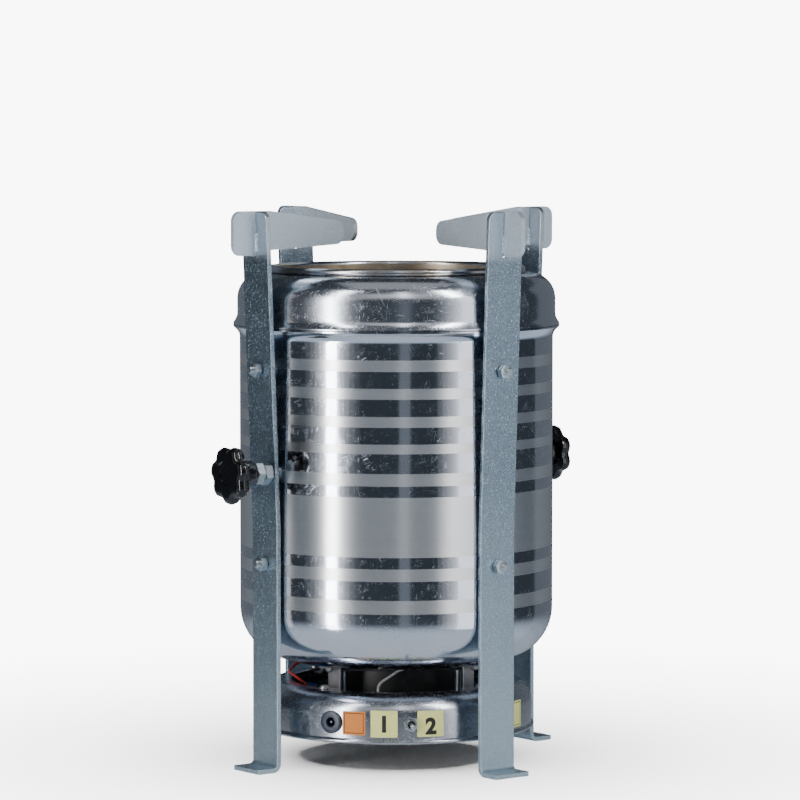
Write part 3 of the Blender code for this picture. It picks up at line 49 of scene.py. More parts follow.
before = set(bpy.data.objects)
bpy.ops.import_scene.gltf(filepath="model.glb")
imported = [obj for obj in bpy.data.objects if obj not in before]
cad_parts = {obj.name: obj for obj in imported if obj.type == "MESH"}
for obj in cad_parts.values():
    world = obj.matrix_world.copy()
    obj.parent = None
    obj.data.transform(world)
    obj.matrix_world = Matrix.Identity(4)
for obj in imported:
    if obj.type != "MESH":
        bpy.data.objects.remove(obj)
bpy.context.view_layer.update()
MM = 0.001
GAP = 0.0003
MERGE_DISTANCE = 1e-7
SHARP_ANGLE = 32.0
SHELL_STEPS = 224
CORNERS = {"front_left": -45.0, "front_right": 45.0, "back_right": 135.0, "back_left": -135.0}
KNOB_CORNERS = {"left": "front_left", "right": "back_right"}
KNOB_TURNS = {"left": 16.0, "right": 0.0}
HUB_RADIUS = 0.0095
FAN_PITCH = 0.03575
CAMERA_AZIMUTH = 7.5
FAN_CORNERS = ("front_right", "back_right", "back_left", "front_left")
ROOT = "stove"

BODY_LOW, BODY_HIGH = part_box("body_shell")
DOME_LOW, DOME_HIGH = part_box("dome_shell")
RING_LOW, RING_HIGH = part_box("burner_ring")
CHAMBER_LOW, CHAMBER_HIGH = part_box("combustion_chamber")
GRATE_LOW, GRATE_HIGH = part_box("fuel_grate")
HOUSING_LOW, HOUSING_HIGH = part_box("fan_housing")
BASE_LOW, BASE_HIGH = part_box("housing_base")
FAN_LOW, FAN_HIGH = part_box("fan_frame")
LEG_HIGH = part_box("leg_front_right")[1]
SUPPORT_LOW, SUPPORT_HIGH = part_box("pot_support_front_right")


def length(default, name, description):
    return FloatProperty(name=name, description=description, default=default, min=0.0, unit="LENGTH")


def angle(default, name, description):
    return FloatProperty(name=name, description=description, default=math.radians(default), unit="ROTATION")


def colour(default, name, description):
    return FloatVectorProperty(
        name=name, description=description, default=default, size=3, min=0.0, max=1.0, subtype="COLOR"
    )


def glow(default, name, description):
    return FloatProperty(name=name, description=description, default=default, min=0.0)


class StoveSizes(PropertyGroup):
    """Sizes of the stove's pieces; heights and outer radii come from the frame."""

    sheet: length(0.001, "Sheet", "Thickness of the pressed shells")
    body_radius: length(0.098, "Body radius", "Outer radius of the canister's wall")
    body_corner: length(0.032, "Body corner", "Radius of the canister's lower corner")
    seam_lip: length(0.0016, "Seam lip", "Width of the flat seat between body and dome")
    flare: length(0.0077, "Flare height", "Height over which a shell flares out to the seam")
    dome_radius: length(0.0995, "Dome radius", "Outer radius of the dome's wall")
    dome_shoulder: length(0.016, "Dome shoulder", "Radius of the dome's shoulder")
    ring_bore: length(0.0763, "Ring bore", "Inner radius of the burner ring")
    ring_bead: length(0.0022, "Ring bead", "Radius of the burner ring's rolled bead")
    air_hole: length(0.00275, "Air hole", "Radius of a secondary-air hole")
    air_hole_drop: length(0.0065, "Air hole drop", "How far the holes lie below the dome's top")
    air_holes: IntProperty(name="Air holes", description="Number of secondary-air holes", default=28, min=3)
    grate_hole: length(0.005, "Grate hole", "Radius of a hole in the fuel grate")
    grate_pitch: length(0.024, "Grate pitch", "Distance between rings of grate holes")
    leg_width: length(0.026, "Leg width", "Width of the flat bar")
    leg_thickness: length(0.003, "Leg thickness", "Thickness of the flat bar")
    leg_inner: length(0.0986, "Leg radius", "Radius of the upright inner face of a leg")
    leg_bend_height: length(0.150, "Leg bend", "Height at which a leg starts to lean out")
    leg_lean: angle(2.3, "Leg lean", "Outward lean of a leg's upper part")
    foot_radius: length(0.116, "Foot radius", "Radius that the bent foot reaches")
    support_thickness: length(0.003, "Support thickness", "Thickness of a pot support")
    support_wing: length(0.017, "Support wing", "How far a pot support reaches outward from its leg")
    support_level: length(0.0085, "Support level", "How far the level top reaches inward from the leg")
    support_tip: length(0.042, "Support tip", "Radius of a pot support's inner tip")
    support_tip_drop: length(0.0072, "Support tip drop", "How far the tip lies below the level top")
    support_tip_height: length(0.0139, "Support tip height", "Height of a pot support's inner tip")
    bolt_low: length(0.128, "Lower bolts", "Height of the lower leg bolts")
    bolt_high: length(0.247, "Upper bolts", "Height of the upper leg bolts")
    knob_height: length(0.1841, "Knob height", "Height of the knobs' studs")
    knob_offset: length(0.006, "Knob offset", "How far a stud lies beside the leg's middle")
    knob_radius: length(0.018, "Knob radius", "Outer radius of a star knob")
    knob_valley: length(0.0024, "Knob valleys", "Depth of the valleys between a knob's lobes")
    knob_head: length(0.0074, "Knob head", "Thickness of a knob's star")
    knob_hub: length(0.0124, "Knob hub", "Length of a knob's hub")
    housing_radius: length(0.085, "Housing radius", "Outer radius of the fan housing")
    housing_opening: length(0.066, "Housing opening", "Radius of the opening in the housing's top")
    housing_shoulder: length(0.013, "Housing shoulder", "Radius of the housing's shoulder")
    fan_size: length(0.08, "Fan size", "Side of the fan's square frame")
    fan_bore: length(0.038, "Fan bore", "Radius of the fan's duct")
    fan_turn: angle(12.0, "Fan turn", "Azimuth that the fan's side faces")
    panel_height: length(0.032, "Panel height", "Height of the socket and the switch")
    jack_turn: angle(-20.2, "Socket azimuth", "Where the power socket lies")
    switch_turn: angle(13.5, "Switch azimuth", "Where the toggle switch lies")


class StoveColours(PropertyGroup):
    """Base colours of the finishes."""

    steel: colour((0.67, 0.71, 0.79), "Steel", "Polished stainless sheet")
    brushed: colour((0.80, 0.80, 0.81), "Brushed", "Matte turned bands")
    galvanised: colour((0.40, 0.50, 0.60), "Galvanised", "Flat bar of legs and supports")
    zinc: colour((0.56, 0.63, 0.67), "Zinc", "Plated fasteners")
    bakelite: colour((0.003, 0.003, 0.004), "Moulded black", "Star knobs")
    plastic: colour((0.018, 0.018, 0.02), "Black plastic", "Fan and cell cradles")
    socket: colour((0.02, 0.03, 0.055), "Socket", "Power socket and switch case")
    label: colour((0.95, 0.98, 0.34), "Label", "Paper labels beside the switch")
    sticker: colour((0.85, 0.27, 0.04), "Sticker", "Blank sticker beside the socket")
    heated: colour((0.20, 0.15, 0.11), "Heated steel", "Fire tube and grate")


class StoveLight(PropertyGroup):
    """Strengths of the studio lights."""

    key: glow(13.0, "Key", "Soft-edged strip to the left of the camera")
    side: glow(0.8, "Side", "Narrow strip far to the left")
    window: glow(0.17, "Window", "Soft strip behind the camera")
    fill: glow(0.85, "Fill", "Soft-edged panel to the right of the camera")
    right: glow(0.45, "Right", "Panel level with the stove's right side")
    slate: glow(0.12, "Slate", "Weak broad panels behind the stove's sides")
    high: glow(10.0, "High", "Strips above the key, the window and the fill")
    front: glow(0.8, "Front", "Soft-edged panels high above the camera")
    top: glow(0.35, "Top", "Panel overhead")
    room: glow(0.055, "Room", "Brightness of the room from eye level upwards")
    ground: glow(0.8, "Ground", "Brightness of the room's pale ground")
    backdrop: glow(9.0, "Backdrop", "Brightness of the pale backdrop")


def turn_frame(azimuth, radius=0.0, height=0.0, side=0.0):
    """A frame whose Z points outward at this azimuth, Y points up and X along the tangent."""
    turn = math.radians(azimuth)
    outward = Vector((math.sin(turn), -math.cos(turn), 0.0))
    tangent = Vector((math.cos(turn), math.sin(turn), 0.0))
    up = Vector((0.0, 0.0, 1.0))
    made = Matrix((tangent, up, outward)).transposed().to_4x4()
    made.translation = outward * radius + up * height + tangent * side
    return made


def upright_frame(azimuth=0.0, radius=0.0, height=0.0):
    """A frame whose Z points up, with Y inward from this azimuth."""
    return turn_frame(azimuth, radius, height) @ Matrix.Rotation(-math.pi / 2, 4, "X")


def raised(place, rise, turn=0.0):
    """The frame moved along its own Z and turned about it."""
    return place @ Matrix.Translation((0.0, 0.0, rise)) @ Matrix.Rotation(turn, 4, "Z")


def arc(centre_r, centre_z, radius, start, end, steps):
    """Profile points along an arc between two angles in degrees."""
    turns = [math.radians(start + (end - start) * k / steps) for k in range(steps + 1)]
    return [(centre_r + radius * math.cos(t), centre_z + radius * math.sin(t)) for t in turns]


def rounded(corners, steps=6):
    """A closed outline through (x, y, fillet radius) corners."""
    outline = []
    count = len(corners)
    for k, (x, y, fillet) in enumerate(corners):
        here = Vector((x, y))
        before = (Vector(corners[k - 1][:2]) - here).normalized()
        after = (Vector(corners[(k + 1) % count][:2]) - here).normalized()
        if fillet <= 0.0:
            outline.append((x, y))
            continue
        half = before.angle(after) / 2
        middle = here + (before + after).normalized() * fillet / math.sin(half)
        start = here + before * fillet / math.tan(half) - middle
        end = here + after * fillet / math.tan(half) - middle
        sweep = start.angle_signed(end)
        for step in range(steps + 1):
            turned_by = Matrix.Rotation(-sweep * step / steps, 2)
            outline.append(tuple(middle + turned_by @ start))
    return outline


def bent_path(corners, steps):
    """An open path through (outward, up, bend radius) corners; the ends have no bend."""
    path = [corners[0][:2]]
    for before, here, after in zip(corners, corners[1:], corners[2:]):
        if here[2] <= 0.0:
            path.append(here[:2])
            continue
        path += rounded([(*before[:2], 0.0), here, (*after[:2], 0.0)], steps)[1:-1]
    path.append(corners[-1][:2])
    return path


def circle(radius, sides, x=0.0, y=0.0, phase=0.0):
    """Outline of a regular polygon; the phase, in degrees, is where its first corner lies."""
    turns = [math.radians(phase) + 2 * math.pi * k / sides for k in range(sides)]
    return [(x + radius * math.cos(t), y + radius * math.sin(t)) for t in turns]


def oblong(width, height):
    """The corners of a rectangle round the origin."""
    x = width / 2
    y = height / 2
    return [(x, -y), (x, y), (-x, y), (-x, -y)]


def smoothed(mesh, limit=SHARP_ANGLE):
    """The mesh shaded smooth, but for its edges sharper than the limit."""
    mesh.shade_smooth()
    mesh.set_sharp_from_angle(angle=math.radians(limit))
    return mesh


def finished_mesh(name, cage, limit=SHARP_ANGLE):
    """A bmesh as a smooth-shaded mesh with sharp edges kept."""
    mesh = bpy.data.meshes.new(name)
    cage.to_mesh(mesh)
    cage.free()
    return smoothed(mesh, limit)


def lathe(name, profile, steps, place=None):
    """A profile of (radius, height) points turned about Z, closed unless it starts on the axis."""
    cage = bmesh.new()
    row = [cage.verts.new((r, 0.0, z)) for r, z in profile]
    edges = [cage.edges.new(pair) for pair in zip(row, row[1:])]
    if profile[0][0] > MERGE_DISTANCE:
        edges.append(cage.edges.new((row[-1], row[0])))
    turn = dict(cent=(0, 0, 0), axis=(0, 0, 1), angle=2 * math.pi, steps=steps, use_merge=True)
    bmesh.ops.spin(cage, geom=row + edges, **turn)
    bmesh.ops.remove_doubles(cage, verts=cage.verts, dist=MERGE_DISTANCE)
    bmesh.ops.dissolve_degenerate(cage, edges=cage.edges, dist=0.1 * MERGE_DISTANCE)
    bmesh.ops.recalc_face_normals(cage, faces=cage.faces)
    if place:
        cage.transform(place)
    return finished_mesh(name, cage)


def rod(name, radius, low, high, steps, place=None):
    """A plain cylinder about Z between two heights."""
    return lathe(name, [(0.0, high), (radius, high), (radius, low), (0.0, low)], steps, place)


def slab(name, outlines, thickness, place=None):
    """A flat plate centred on its plane; the first outline is the rim, the rest are holes."""
    flat = bpy.data.curves.new(name, "CURVE")
    flat.dimensions = "2D"
    flat.fill_mode = "BOTH"
    flat.extrude = thickness / 2
    for outline in outlines:
        spline = flat.splines.new("POLY")
        spline.points.add(len(outline) - 1)
        for point, (x, y) in zip(spline.points, outline):
            point.co = (x, y, 0.0, 1.0)
        spline.use_cyclic_u = True
    mesh = baked(bpy.data.objects.new(name, flat))
    bpy.data.curves.remove(flat)
    cage = bmesh.new()
    cage.from_mesh(mesh)
    bpy.data.meshes.remove(mesh)
    bmesh.ops.remove_doubles(cage, verts=cage.verts, dist=MERGE_DISTANCE)
    bmesh.ops.recalc_face_normals(cage, faces=cage.faces)
    if place:
        cage.transform(place)
    return finished_mesh(name, cage)


def block(name, size, centre):
    """A box of this size round its centre."""
    cage = bmesh.new()
    stretch = Matrix.Translation(Vector(centre)) @ Matrix.Diagonal((*size, 1.0))
    bmesh.ops.create_cube(cage, size=1.0, matrix=stretch)
    return finished_mesh(name, cage)


def strip_cage(path, width):
    """A flat strip along a path of (outward, up) points, and the pairs of vertices across it."""
    cage = bmesh.new()
    rows = [[cage.verts.new((side * width / 2, up, outward)) for side in (-1, 1)] for outward, up in path]
    for low, high in zip(rows, rows[1:]):
        cage.faces.new((low[0], low[1], high[1], high[0]))
    return cage, rows


def baked(source):
    """The object's evaluated mesh; the object is removed."""
    bpy.context.scene.collection.objects.link(source)
    bpy.context.view_layer.update()
    graph = bpy.context.evaluated_depsgraph_get()
    mesh = bpy.data.meshes.new_from_object(source.evaluated_get(graph), depsgraph=graph)
    bpy.data.objects.remove(source, do_unlink=True)
    return mesh


def bevelled(mesh, width, limit=40.0):
    """The mesh with its edges sharper than the limit rounded."""
    source = bpy.data.objects.new(mesh.name, mesh)
    step = source.modifiers.new("round_edges", "BEVEL")
    step.width = width
    step.segments = 2
    step.limit_method = "ANGLE"
    step.angle_limit = math.radians(limit)
    step.harden_normals = True
    return baked(source)


def thickened(mesh, thickness, even=False):
    """A sheet made solid to both sides, with its thickness kept in the bends if even is set."""
    source = bpy.data.objects.new(mesh.name, mesh)
    wall = source.modifiers.new("thickness", "SOLIDIFY")
    wall.thickness = thickness
    wall.offset = 0.0
    wall.use_even_offset = even
    return baked(source)


def cut_with(mesh, tool_meshes, operation="DIFFERENCE"):
    """The mesh after each tool mesh is cut from it, or joined to it."""
    source = bpy.data.objects.new(mesh.name, mesh)
    tools = []
    for tool_mesh in tool_meshes:
        tool = bpy.data.objects.new("tool", tool_mesh)
        bpy.context.scene.collection.objects.link(tool)
        tools.append(tool)
        step = source.modifiers.new("cut", "BOOLEAN")
        step.operation = operation
        step.solver = "EXACT"
        step.object = tool
    made = baked(source)
    for tool in tools:
        bpy.data.objects.remove(tool, do_unlink=True)
    return smoothed(made)


def joined(name, meshes):
    """One mesh that holds all of these, each face keeping its own material."""
    finishes = []
    cage = bmesh.new()
    for mesh in meshes:
        start = len(cage.faces)
        cage.from_mesh(mesh)
        cage.faces.ensure_lookup_table()
        slots = list(mesh.materials) or [None]
        for material in slots:
            if material not in finishes:
                finishes.append(material)
        for face in cage.faces[start:]:
            face.material_index = finishes.index(slots[min(face.material_index, len(slots) - 1)])
    mesh = bpy.data.meshes.new(name)
    for material in finishes:
        mesh.materials.append(material)
    cage.to_mesh(mesh)
    cage.free()
    return mesh


def painted(mesh, *finishes):
    """The mesh with these finishes in place of its own."""
    mesh.materials.clear()
    for finish in finishes:
        mesh.materials.append(finish)
    return mesh


def paint_node(name, finish):
    """Gives a finish to a node of the frame that no piece stands for."""
    painted(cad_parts[name].data, FINISHES[finish])


def piece(name, mesh, nodes=(), body=ROOT, finish=None):
    """A finished piece at the origin, riding on its body and standing for its frame nodes."""
    if finish:
        painted(mesh, FINISHES[finish])
    made = bpy.data.objects.new(name, mesh)
    mesh.name = name
    bpy.context.scene.collection.objects.link(made)
    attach(made, body)
    if nodes:
        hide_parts(*nodes)


def thread(radius, start, end, pitch):
    """Profile points of a screw thread between two heights, from the upper one down."""
    count = max(1, round((end - start) / pitch))
    step = (end - start) / count
    depth = 0.35 * pitch
    points = []
    for k in range(count):
        top = end - k * step
        points += [(radius - depth, top), (radius, top - 0.4 * step), (radius, top - 0.6 * step)]
    points.append((radius - depth, start))
    return points


def hex_nut(name, flats, height, bore=0.0, place=None):
    """A hexagon nut with its corners chamfered at both faces."""
    corner = flats / math.sqrt(3)
    face_r = 0.93 * flats / 2
    edge_r = 1.01 * corner
    edge_z = height / 2 - 0.6 * (corner - flats / 2)
    chamfer = [(0.0, height / 2), (face_r, height / 2), (edge_r, edge_z)]
    chamfer += [(r, -z) for r, z in reversed(chamfer)]
    outline = [circle(corner, 6, phase=30.0)]
    if bore:
        outline.append(circle(bore, 32))
    prism = slab(name, outline, height * 0.998)
    nut = cut_with(prism, [lathe("chamfer", chamfer, 48)], "INTERSECT")
    if place:
        nut.transform(place)
    return nut


class Value:
    """A shader socket in Python arithmetic: each operation adds its Math node."""

    def __init__(self, kit, socket):
        self.kit = kit
        self.socket = socket

    def _with(self, operation, *others, first=None):
        """The result of a Math node on this value and the others, or on first and this value."""
        operands = [self, *others] if first is None else [first, self]
        node = self.kit.node("ShaderNodeMath", {"operation": operation})
        for slot, operand in zip(node.inputs, operands):
            self.kit.feed(slot, operand)
        return Value(self.kit, node.outputs[0])

    def __add__(self, other):
        return self._with("ADD", other)

    __radd__ = __add__

    def __mul__(self, other):
        return self._with("MULTIPLY", other)

    __rmul__ = __mul__

    def __sub__(self, other):
        return self._with("SUBTRACT", other)

    def __rsub__(self, other):
        return self._with("SUBTRACT", first=other)

    def __truediv__(self, other):
        return self._with("DIVIDE", other)

    def __pow__(self, other):
        return self._with("POWER", other)

    def sine(self):
        return self._with("SINE")

    def absolute(self):
        return self._with("ABSOLUTE")

    def highest(self, other):
        return self._with("MAXIMUM", other)

    def clamped(self, low, high):
        return self._with("MAXIMUM", low)._with("MINIMUM", high)

    def ramped(self, low, high):
        """0 below low, 1 above high, straight between."""
        return ((self - low) / (high - low)).clamped(0.0, 1.0)


class Finish:
    """A material and the few moves that every finish here is made with."""

    def __init__(self, name, metallic=0.0, **sockets):
        self.material = bpy.data.materials.new(name)
        self.material.use_nodes = True
        self.tree = self.material.node_tree
        self.shader = self.tree.nodes["Principled BSDF"]
        self.put("Metallic", metallic)
        for socket, value in sockets.items():
            self.put(socket.replace("_", " "), value)
        self.place = self.node("ShaderNodeTexCoord").outputs["Object"]

    def node(self, kind, settings=None, **inputs):
        made = self.tree.nodes.new(kind)
        for field, value in (settings or {}).items():
            if field == "stops":
                self.set_stops(made.color_ramp, value)
            else:
                setattr(made, field, value)
        for socket, value in inputs.items():
            self.feed(made.inputs[socket.replace("_", " ")], value)
        return made

    def set_stops(self, ramp, stops):
        while len(ramp.elements) < len(stops):
            ramp.elements.new(0.5)
        for element, (position, shade) in zip(ramp.elements, stops):
            element.position = position
            element.color = (*shade, 1.0)

    def feed(self, socket, value):
        if isinstance(value, Value):
            value = value.socket
        if isinstance(value, bpy.types.NodeSocket):
            self.tree.links.new(value, socket)
        elif socket.type == "RGBA" and len(value) == 3:
            socket.default_value = (*value, 1.0)
        else:
            socket.default_value = value

    def put(self, socket, value):
        self.feed(self.shader.inputs[socket], value)

    def stretched(self, scale, turn=(0.0, 0.0, 0.0)):
        """Object coordinates turned, then scaled differently along each axis."""
        angles = [math.radians(degrees) for degrees in turn]
        turned = self.node("ShaderNodeMapping", Vector=self.place, Rotation=angles)
        return self.node("ShaderNodeMapping", Vector=turned.outputs[0], Scale=scale).outputs[0]

    def noise(self, scale, detail=2.0, rough=0.5, where=None, warp=0.0):
        made = self.node(
            "ShaderNodeTexNoise",
            Vector=where or self.place,
            Scale=scale,
            Detail=detail,
            Roughness=rough,
            Distortion=warp,
        )
        return Value(self, made.outputs["Fac"])

    def cell_edges(self, scale):
        """Distance to the nearest border of a cell pattern."""
        settings = {"feature": "DISTANCE_TO_EDGE"}
        made = self.node("ShaderNodeTexVoronoi", settings, Vector=self.place, Scale=scale)
        return Value(self, made.outputs["Distance"])

    def blend(self, share, low, high):
        made = self.node("ShaderNodeMix", {"data_type": "RGBA"})
        self.feed(made.inputs[0], share)
        self.feed(made.inputs[6], low)
        self.feed(made.inputs[7], high)
        return made.outputs[2]

    def ramp(self, share, stops):
        return self.node("ShaderNodeValToRGB", {"stops": stops}, Fac=share).outputs["Color"]

    def axis(self, letter):
        split = self.node("ShaderNodeSeparateXYZ", Vector=self.place)
        return Value(self, split.outputs[letter])

    def bump(self, height, distance, strength, under=None):
        made = self.node("ShaderNodeBump", Height=height, Distance=distance, Strength=strength)
        if under:
            self.feed(made.inputs["Normal"], under)
        return made.outputs["Normal"]


def shade(tone, factor):
    """A lighter or darker tone of the same colour."""
    return tuple(min(1.0, channel * factor) for channel in tone)


def scratches(finish):
    """Short fine scratches in several directions, thickest where the sheet was handled."""
    patches = finish.noise(11.0, 3.0).ramped(0.38, 0.66)
    total = None
    for turn in ((58, 12, 0), (-40, 30, 15), (20, -64, 30), (85, 40, 5), (10, 20, 80)):
        where = finish.stretched((28, 28, 1500), turn)
        lines = 1.0 - ((finish.noise(1.0, 0.0, where=where) - 0.5).absolute() / 0.016)
        breaks = finish.noise(170.0, 0.0, where=finish.stretched((1, 1, 1), turn)).ramped(0.60, 0.68)
        layer = lines.clamped(0.0, 1.0) * breaks
        total = layer if total is None else total.highest(layer)
    return (total * (0.25 + patches)).clamped(0.0, 1.0)


def polished_sheet(name, steel, dulled=0.0):
    """Mirror-bright sheet with wiped haze, random scratches and slight waves."""
    finish = Finish(name, metallic=1.0)
    marks = scratches(finish)
    haze = finish.noise(17.0, 5.0, 0.65).ramped(0.46, 0.70)
    specks = finish.noise(620.0, 1.0).ramped(0.68, 0.74)
    streaks = finish.noise(1.0, 3.0, 0.6, where=finish.stretched((7, 7, 900)))
    finish.put("Base Color", finish.blend(haze * 0.4, steel, shade(steel, 0.88)))
    finish.put("Roughness", 0.05 + dulled + haze * 0.07 + streaks * 0.05 + marks * 0.42 + specks * 0.16)
    waves = finish.noise(24.0, 2.0, 0.4)
    soft = finish.bump(waves, 0.0005, 0.22)
    finish.put("Normal", finish.bump(marks * 0.5 + specks * 0.5, 0.00002, 0.4, soft))
    return finish.material


def brushed_band(colours):
    """Matte band turned on a lathe: fine grooves run round the body."""
    finish = Finish("brushed_steel_band", metallic=1.0, Anisotropic=1.0, Anisotropic_Rotation=0.25)
    grooves = finish.noise(1.0, 3.0, 0.7, where=finish.stretched((5, 5, 2600)))
    broad = finish.noise(1.0, 2.0, 0.5, where=finish.stretched((2, 2, 260)))
    cloud = finish.noise(7.0, 3.0)
    tone = grooves * 0.5 + broad * 0.3 + cloud * 0.2
    steel = colours.brushed
    finish.put("Base Color", finish.blend(tone, shade(steel, 0.9), shade(steel, 1.12)))
    finish.put("Roughness", 0.27 + grooves * 0.09)
    finish.put("Normal", finish.bump(grooves, 0.00003, 0.4))
    return finish.material


def satin_sheet(colours):
    """Plain stainless strip with a dull rolled surface, its tone darkened as painted shade of the gap under
    the body.
    """
    finish = Finish("satin_steel_painted_shade", metallic=1.0)
    grain = finish.noise(1.0, 2.0, 0.6, where=finish.stretched((900, 60, 900), (0, 0, 12)))
    stain = finish.noise(30.0, 4.0)
    steel = colours.brushed
    # Painted shade: both tones are kept dark, 0.42 and 0.66 of the band's colour, to stand for the shaded
    # gap.
    finish.put("Base Color", finish.blend(stain, shade(steel, 0.42), shade(steel, 0.66)))
    finish.put("Roughness", 0.3 + grain * 0.15)
    finish.put("Normal", finish.bump(grain, 0.00004, 0.4))
    return finish.material


def galvanised_bar(colours, name="galvanised_bar", lift=1.0, metal=1.0):
    """Zinc-coated bar: blue-grey with dense bright flecks, with a painted glow of the fire near the top and
    painted light of the floor towards the bottom.
    """
    finish = Finish(name, metallic=metal)
    grain = finish.noise(1500.0, 2.0, 0.6)
    fleck = finish.noise(1050.0, 1.0).ramped(0.60, 0.70)
    cloud = finish.noise(22.0, 5.0, 0.6)
    # The lift lightens the whole tone; the pot supports' copy uses it as painted light of the fire on their
    # wings.
    zinc = shade(colours.galvanised, lift)
    tone = finish.blend(cloud, shade(zinc, 0.82), shade(zinc, 1.12))
    tone = finish.blend(grain.ramped(0.35, 0.62), shade(zinc, 0.52), tone)
    tone = finish.blend(fleck * 0.7, tone, shade(zinc, 1.9))
    height = finish.axis("Z")
    # Painted glow of the fire: the tone turns pale blue-white from just below the pot supports upward.
    painted_fire_glow = height.ramped(SUPPORT_LOW.z - 0.004, SUPPORT_LOW.z + 0.002) * 0.68
    # Painted light of the floor: the tone turns paler and bluer towards the bottom of the bar.
    painted_floor_light = (1.0 - height.ramped(0.04, 0.19)) * 0.6
    tone = finish.blend(painted_floor_light, tone, (0.56, 0.70, 0.80))
    finish.put("Base Color", finish.blend(painted_fire_glow, tone, (0.78, 0.85, 0.92)))
    finish.put("Roughness", 0.20 + grain * 0.12 + cloud * 0.08 + fleck * 0.14 + painted_floor_light * 0.2)
    soft = finish.bump(finish.noise(330.0, 2.0), 0.00006, 0.5)
    finish.put("Normal", finish.bump(grain + fleck, 0.00007, 0.8, soft))
    return finish.material


def bright_zinc(colours):
    """Bright plated fasteners with a faint cloudy bloom."""
    finish = Finish("bright_zinc", metallic=1.0)
    cloud = finish.noise(160.0, 3.0, 0.6)
    pits = finish.noise(1800.0, 1.0).ramped(0.6, 0.75)
    finish.put("Base Color", finish.blend(cloud, shade(colours.zinc, 0.78), shade(colours.zinc, 1.15)))
    finish.put("Roughness", 0.22 + cloud * 0.16 + pits * 0.1)
    finish.put("Normal", finish.bump(pits, 0.00004, 0.4))
    return finish.material


def moulded_black(colours):
    """Glossy hard moulding with fine hairline marks and a little dust."""
    finish = Finish("moulded_black", Coat_Weight=0.25, Coat_Roughness=0.08)
    hair = finish.noise(1.0, 1.0, where=finish.stretched((80, 1200, 150), (30, 20, 50)), warp=0.4)
    marks = hair.ramped(0.70, 0.76)
    dust = finish.noise(900.0, 2.0).ramped(0.66, 0.76)
    finish.put("Base Color", finish.blend(marks * 0.25 + dust * 0.05, colours.bakelite, (0.20, 0.20, 0.21)))
    finish.put("Roughness", 0.16 + marks * 0.3 + dust * 0.12)
    finish.put("Normal", finish.bump(finish.noise(150.0, 2.0), 0.0001, 0.12))
    return finish.material


def fan_plastic(colours):
    """Matte black moulding with a spark-eroded grain."""
    finish = Finish("fan_plastic")
    grain = finish.noise(2200.0, 2.0, 0.6)
    dust = finish.noise(60.0, 4.0).ramped(0.45, 0.8)
    finish.put("Base Color", finish.blend(dust * 0.3, colours.plastic, (0.09, 0.085, 0.08)))
    finish.put("Roughness", 0.38 + grain * 0.2)
    finish.put("Normal", finish.bump(grain, 0.00004, 0.5))
    return finish.material


def socket_plastic(colours):
    """Dark blue-grey moulding of the socket and the switch case."""
    finish = Finish("socket_plastic")
    grain = finish.noise(1600.0, 2.0)
    tone = finish.noise(200.0, 2.0)
    finish.put("Base Color", finish.blend(tone, shade(colours.socket, 0.7), shade(colours.socket, 1.5)))
    finish.put("Roughness", 0.25 + grain * 0.12)
    finish.put("Normal", finish.bump(grain, 0.00003, 0.4))
    return finish.material


def heated_steel(colours):
    """Steel of the fire tube: soot below, straw and blue temper colours towards the rim."""
    finish = Finish("heated_steel", metallic=0.9)
    height = finish.axis("Z").ramped(CHAMBER_LOW.z, RING_HIGH.z)
    wander = finish.noise(24.0, 4.0, 0.6)
    level = height + (wander - 0.5) * 0.14
    stops = [
        (0.0, (0.02, 0.018, 0.017)),
        (0.45, (0.05, 0.04, 0.035)),
        (0.72, (0.12, 0.075, 0.05)),
        (0.86, (0.20, 0.13, 0.14)),
        (0.94, (0.34, 0.24, 0.13)),
        (1.0, (0.50, 0.44, 0.36)),
    ]
    soot = finish.noise(70.0, 5.0, 0.65).ramped(0.5, 0.75)
    finish.put("Base Color", finish.blend(soot * 0.7, finish.ramp(level, stops), colours.heated))
    finish.put("Roughness", 0.34 + soot * 0.35)
    finish.put("Normal", finish.bump(finish.noise(500.0, 3.0), 0.0001, 0.4))
    return finish.material


def rim_steel(colours):
    """The rolled rim, bright where it is handled and straw-coloured where it is hot."""
    finish = Finish("rim_steel", metallic=1.0)
    wander = finish.noise(30.0, 4.0, 0.6)
    warm = finish.blend(wander.ramped(0.4, 0.7), shade(colours.steel, 0.8), (0.44, 0.34, 0.20))
    finish.put("Base Color", warm)
    finish.put("Roughness", 0.14 + wander * 0.18)
    finish.put("Normal", finish.bump(finish.noise(300.0, 2.0), 0.00006, 0.4))
    return finish.material


def copper_winding():
    """Lacquered copper wire wound round the stator."""
    finish = Finish("copper_winding", metallic=1.0, Coat_Weight=0.5)
    turns = (finish.axis("Z") * 9000.0).sine() * 0.5 + 0.5
    finish.put("Base Color", finish.blend(turns, (0.30, 0.10, 0.03), (0.75, 0.33, 0.14)))
    finish.put("Roughness", 0.25 + turns * 0.15)
    finish.put("Normal", finish.bump(turns, 0.0001, 0.8))
    return finish.material


def shrink_wrap():
    """Blue shrink film over a cell, slightly wrinkled at the ends."""
    finish = Finish("cell_wrap", Coat_Weight=0.3)
    folds = finish.noise(1.0, 3.0, where=finish.stretched((300, 300, 40)))
    finish.put("Base Color", finish.blend(folds, (0.01, 0.06, 0.26), (0.02, 0.13, 0.42)))
    finish.put("Roughness", 0.24 + folds * 0.14)
    finish.put("Normal", finish.bump(folds, 0.0001, 0.3))
    return finish.material


def circuit_board():
    """Green lacquer over a weave of copper tracks."""
    finish = Finish("circuit_board", Coat_Weight=0.6)
    tracks = finish.cell_edges(260.0).ramped(0.04, 0.08)
    finish.put("Base Color", finish.blend(tracks, (0.02, 0.22, 0.08), (0.01, 0.12, 0.04)))
    finish.put("Roughness", 0.3 + tracks * 0.1)
    finish.put("Normal", finish.bump(tracks, 0.00004, 0.5))
    return finish.material


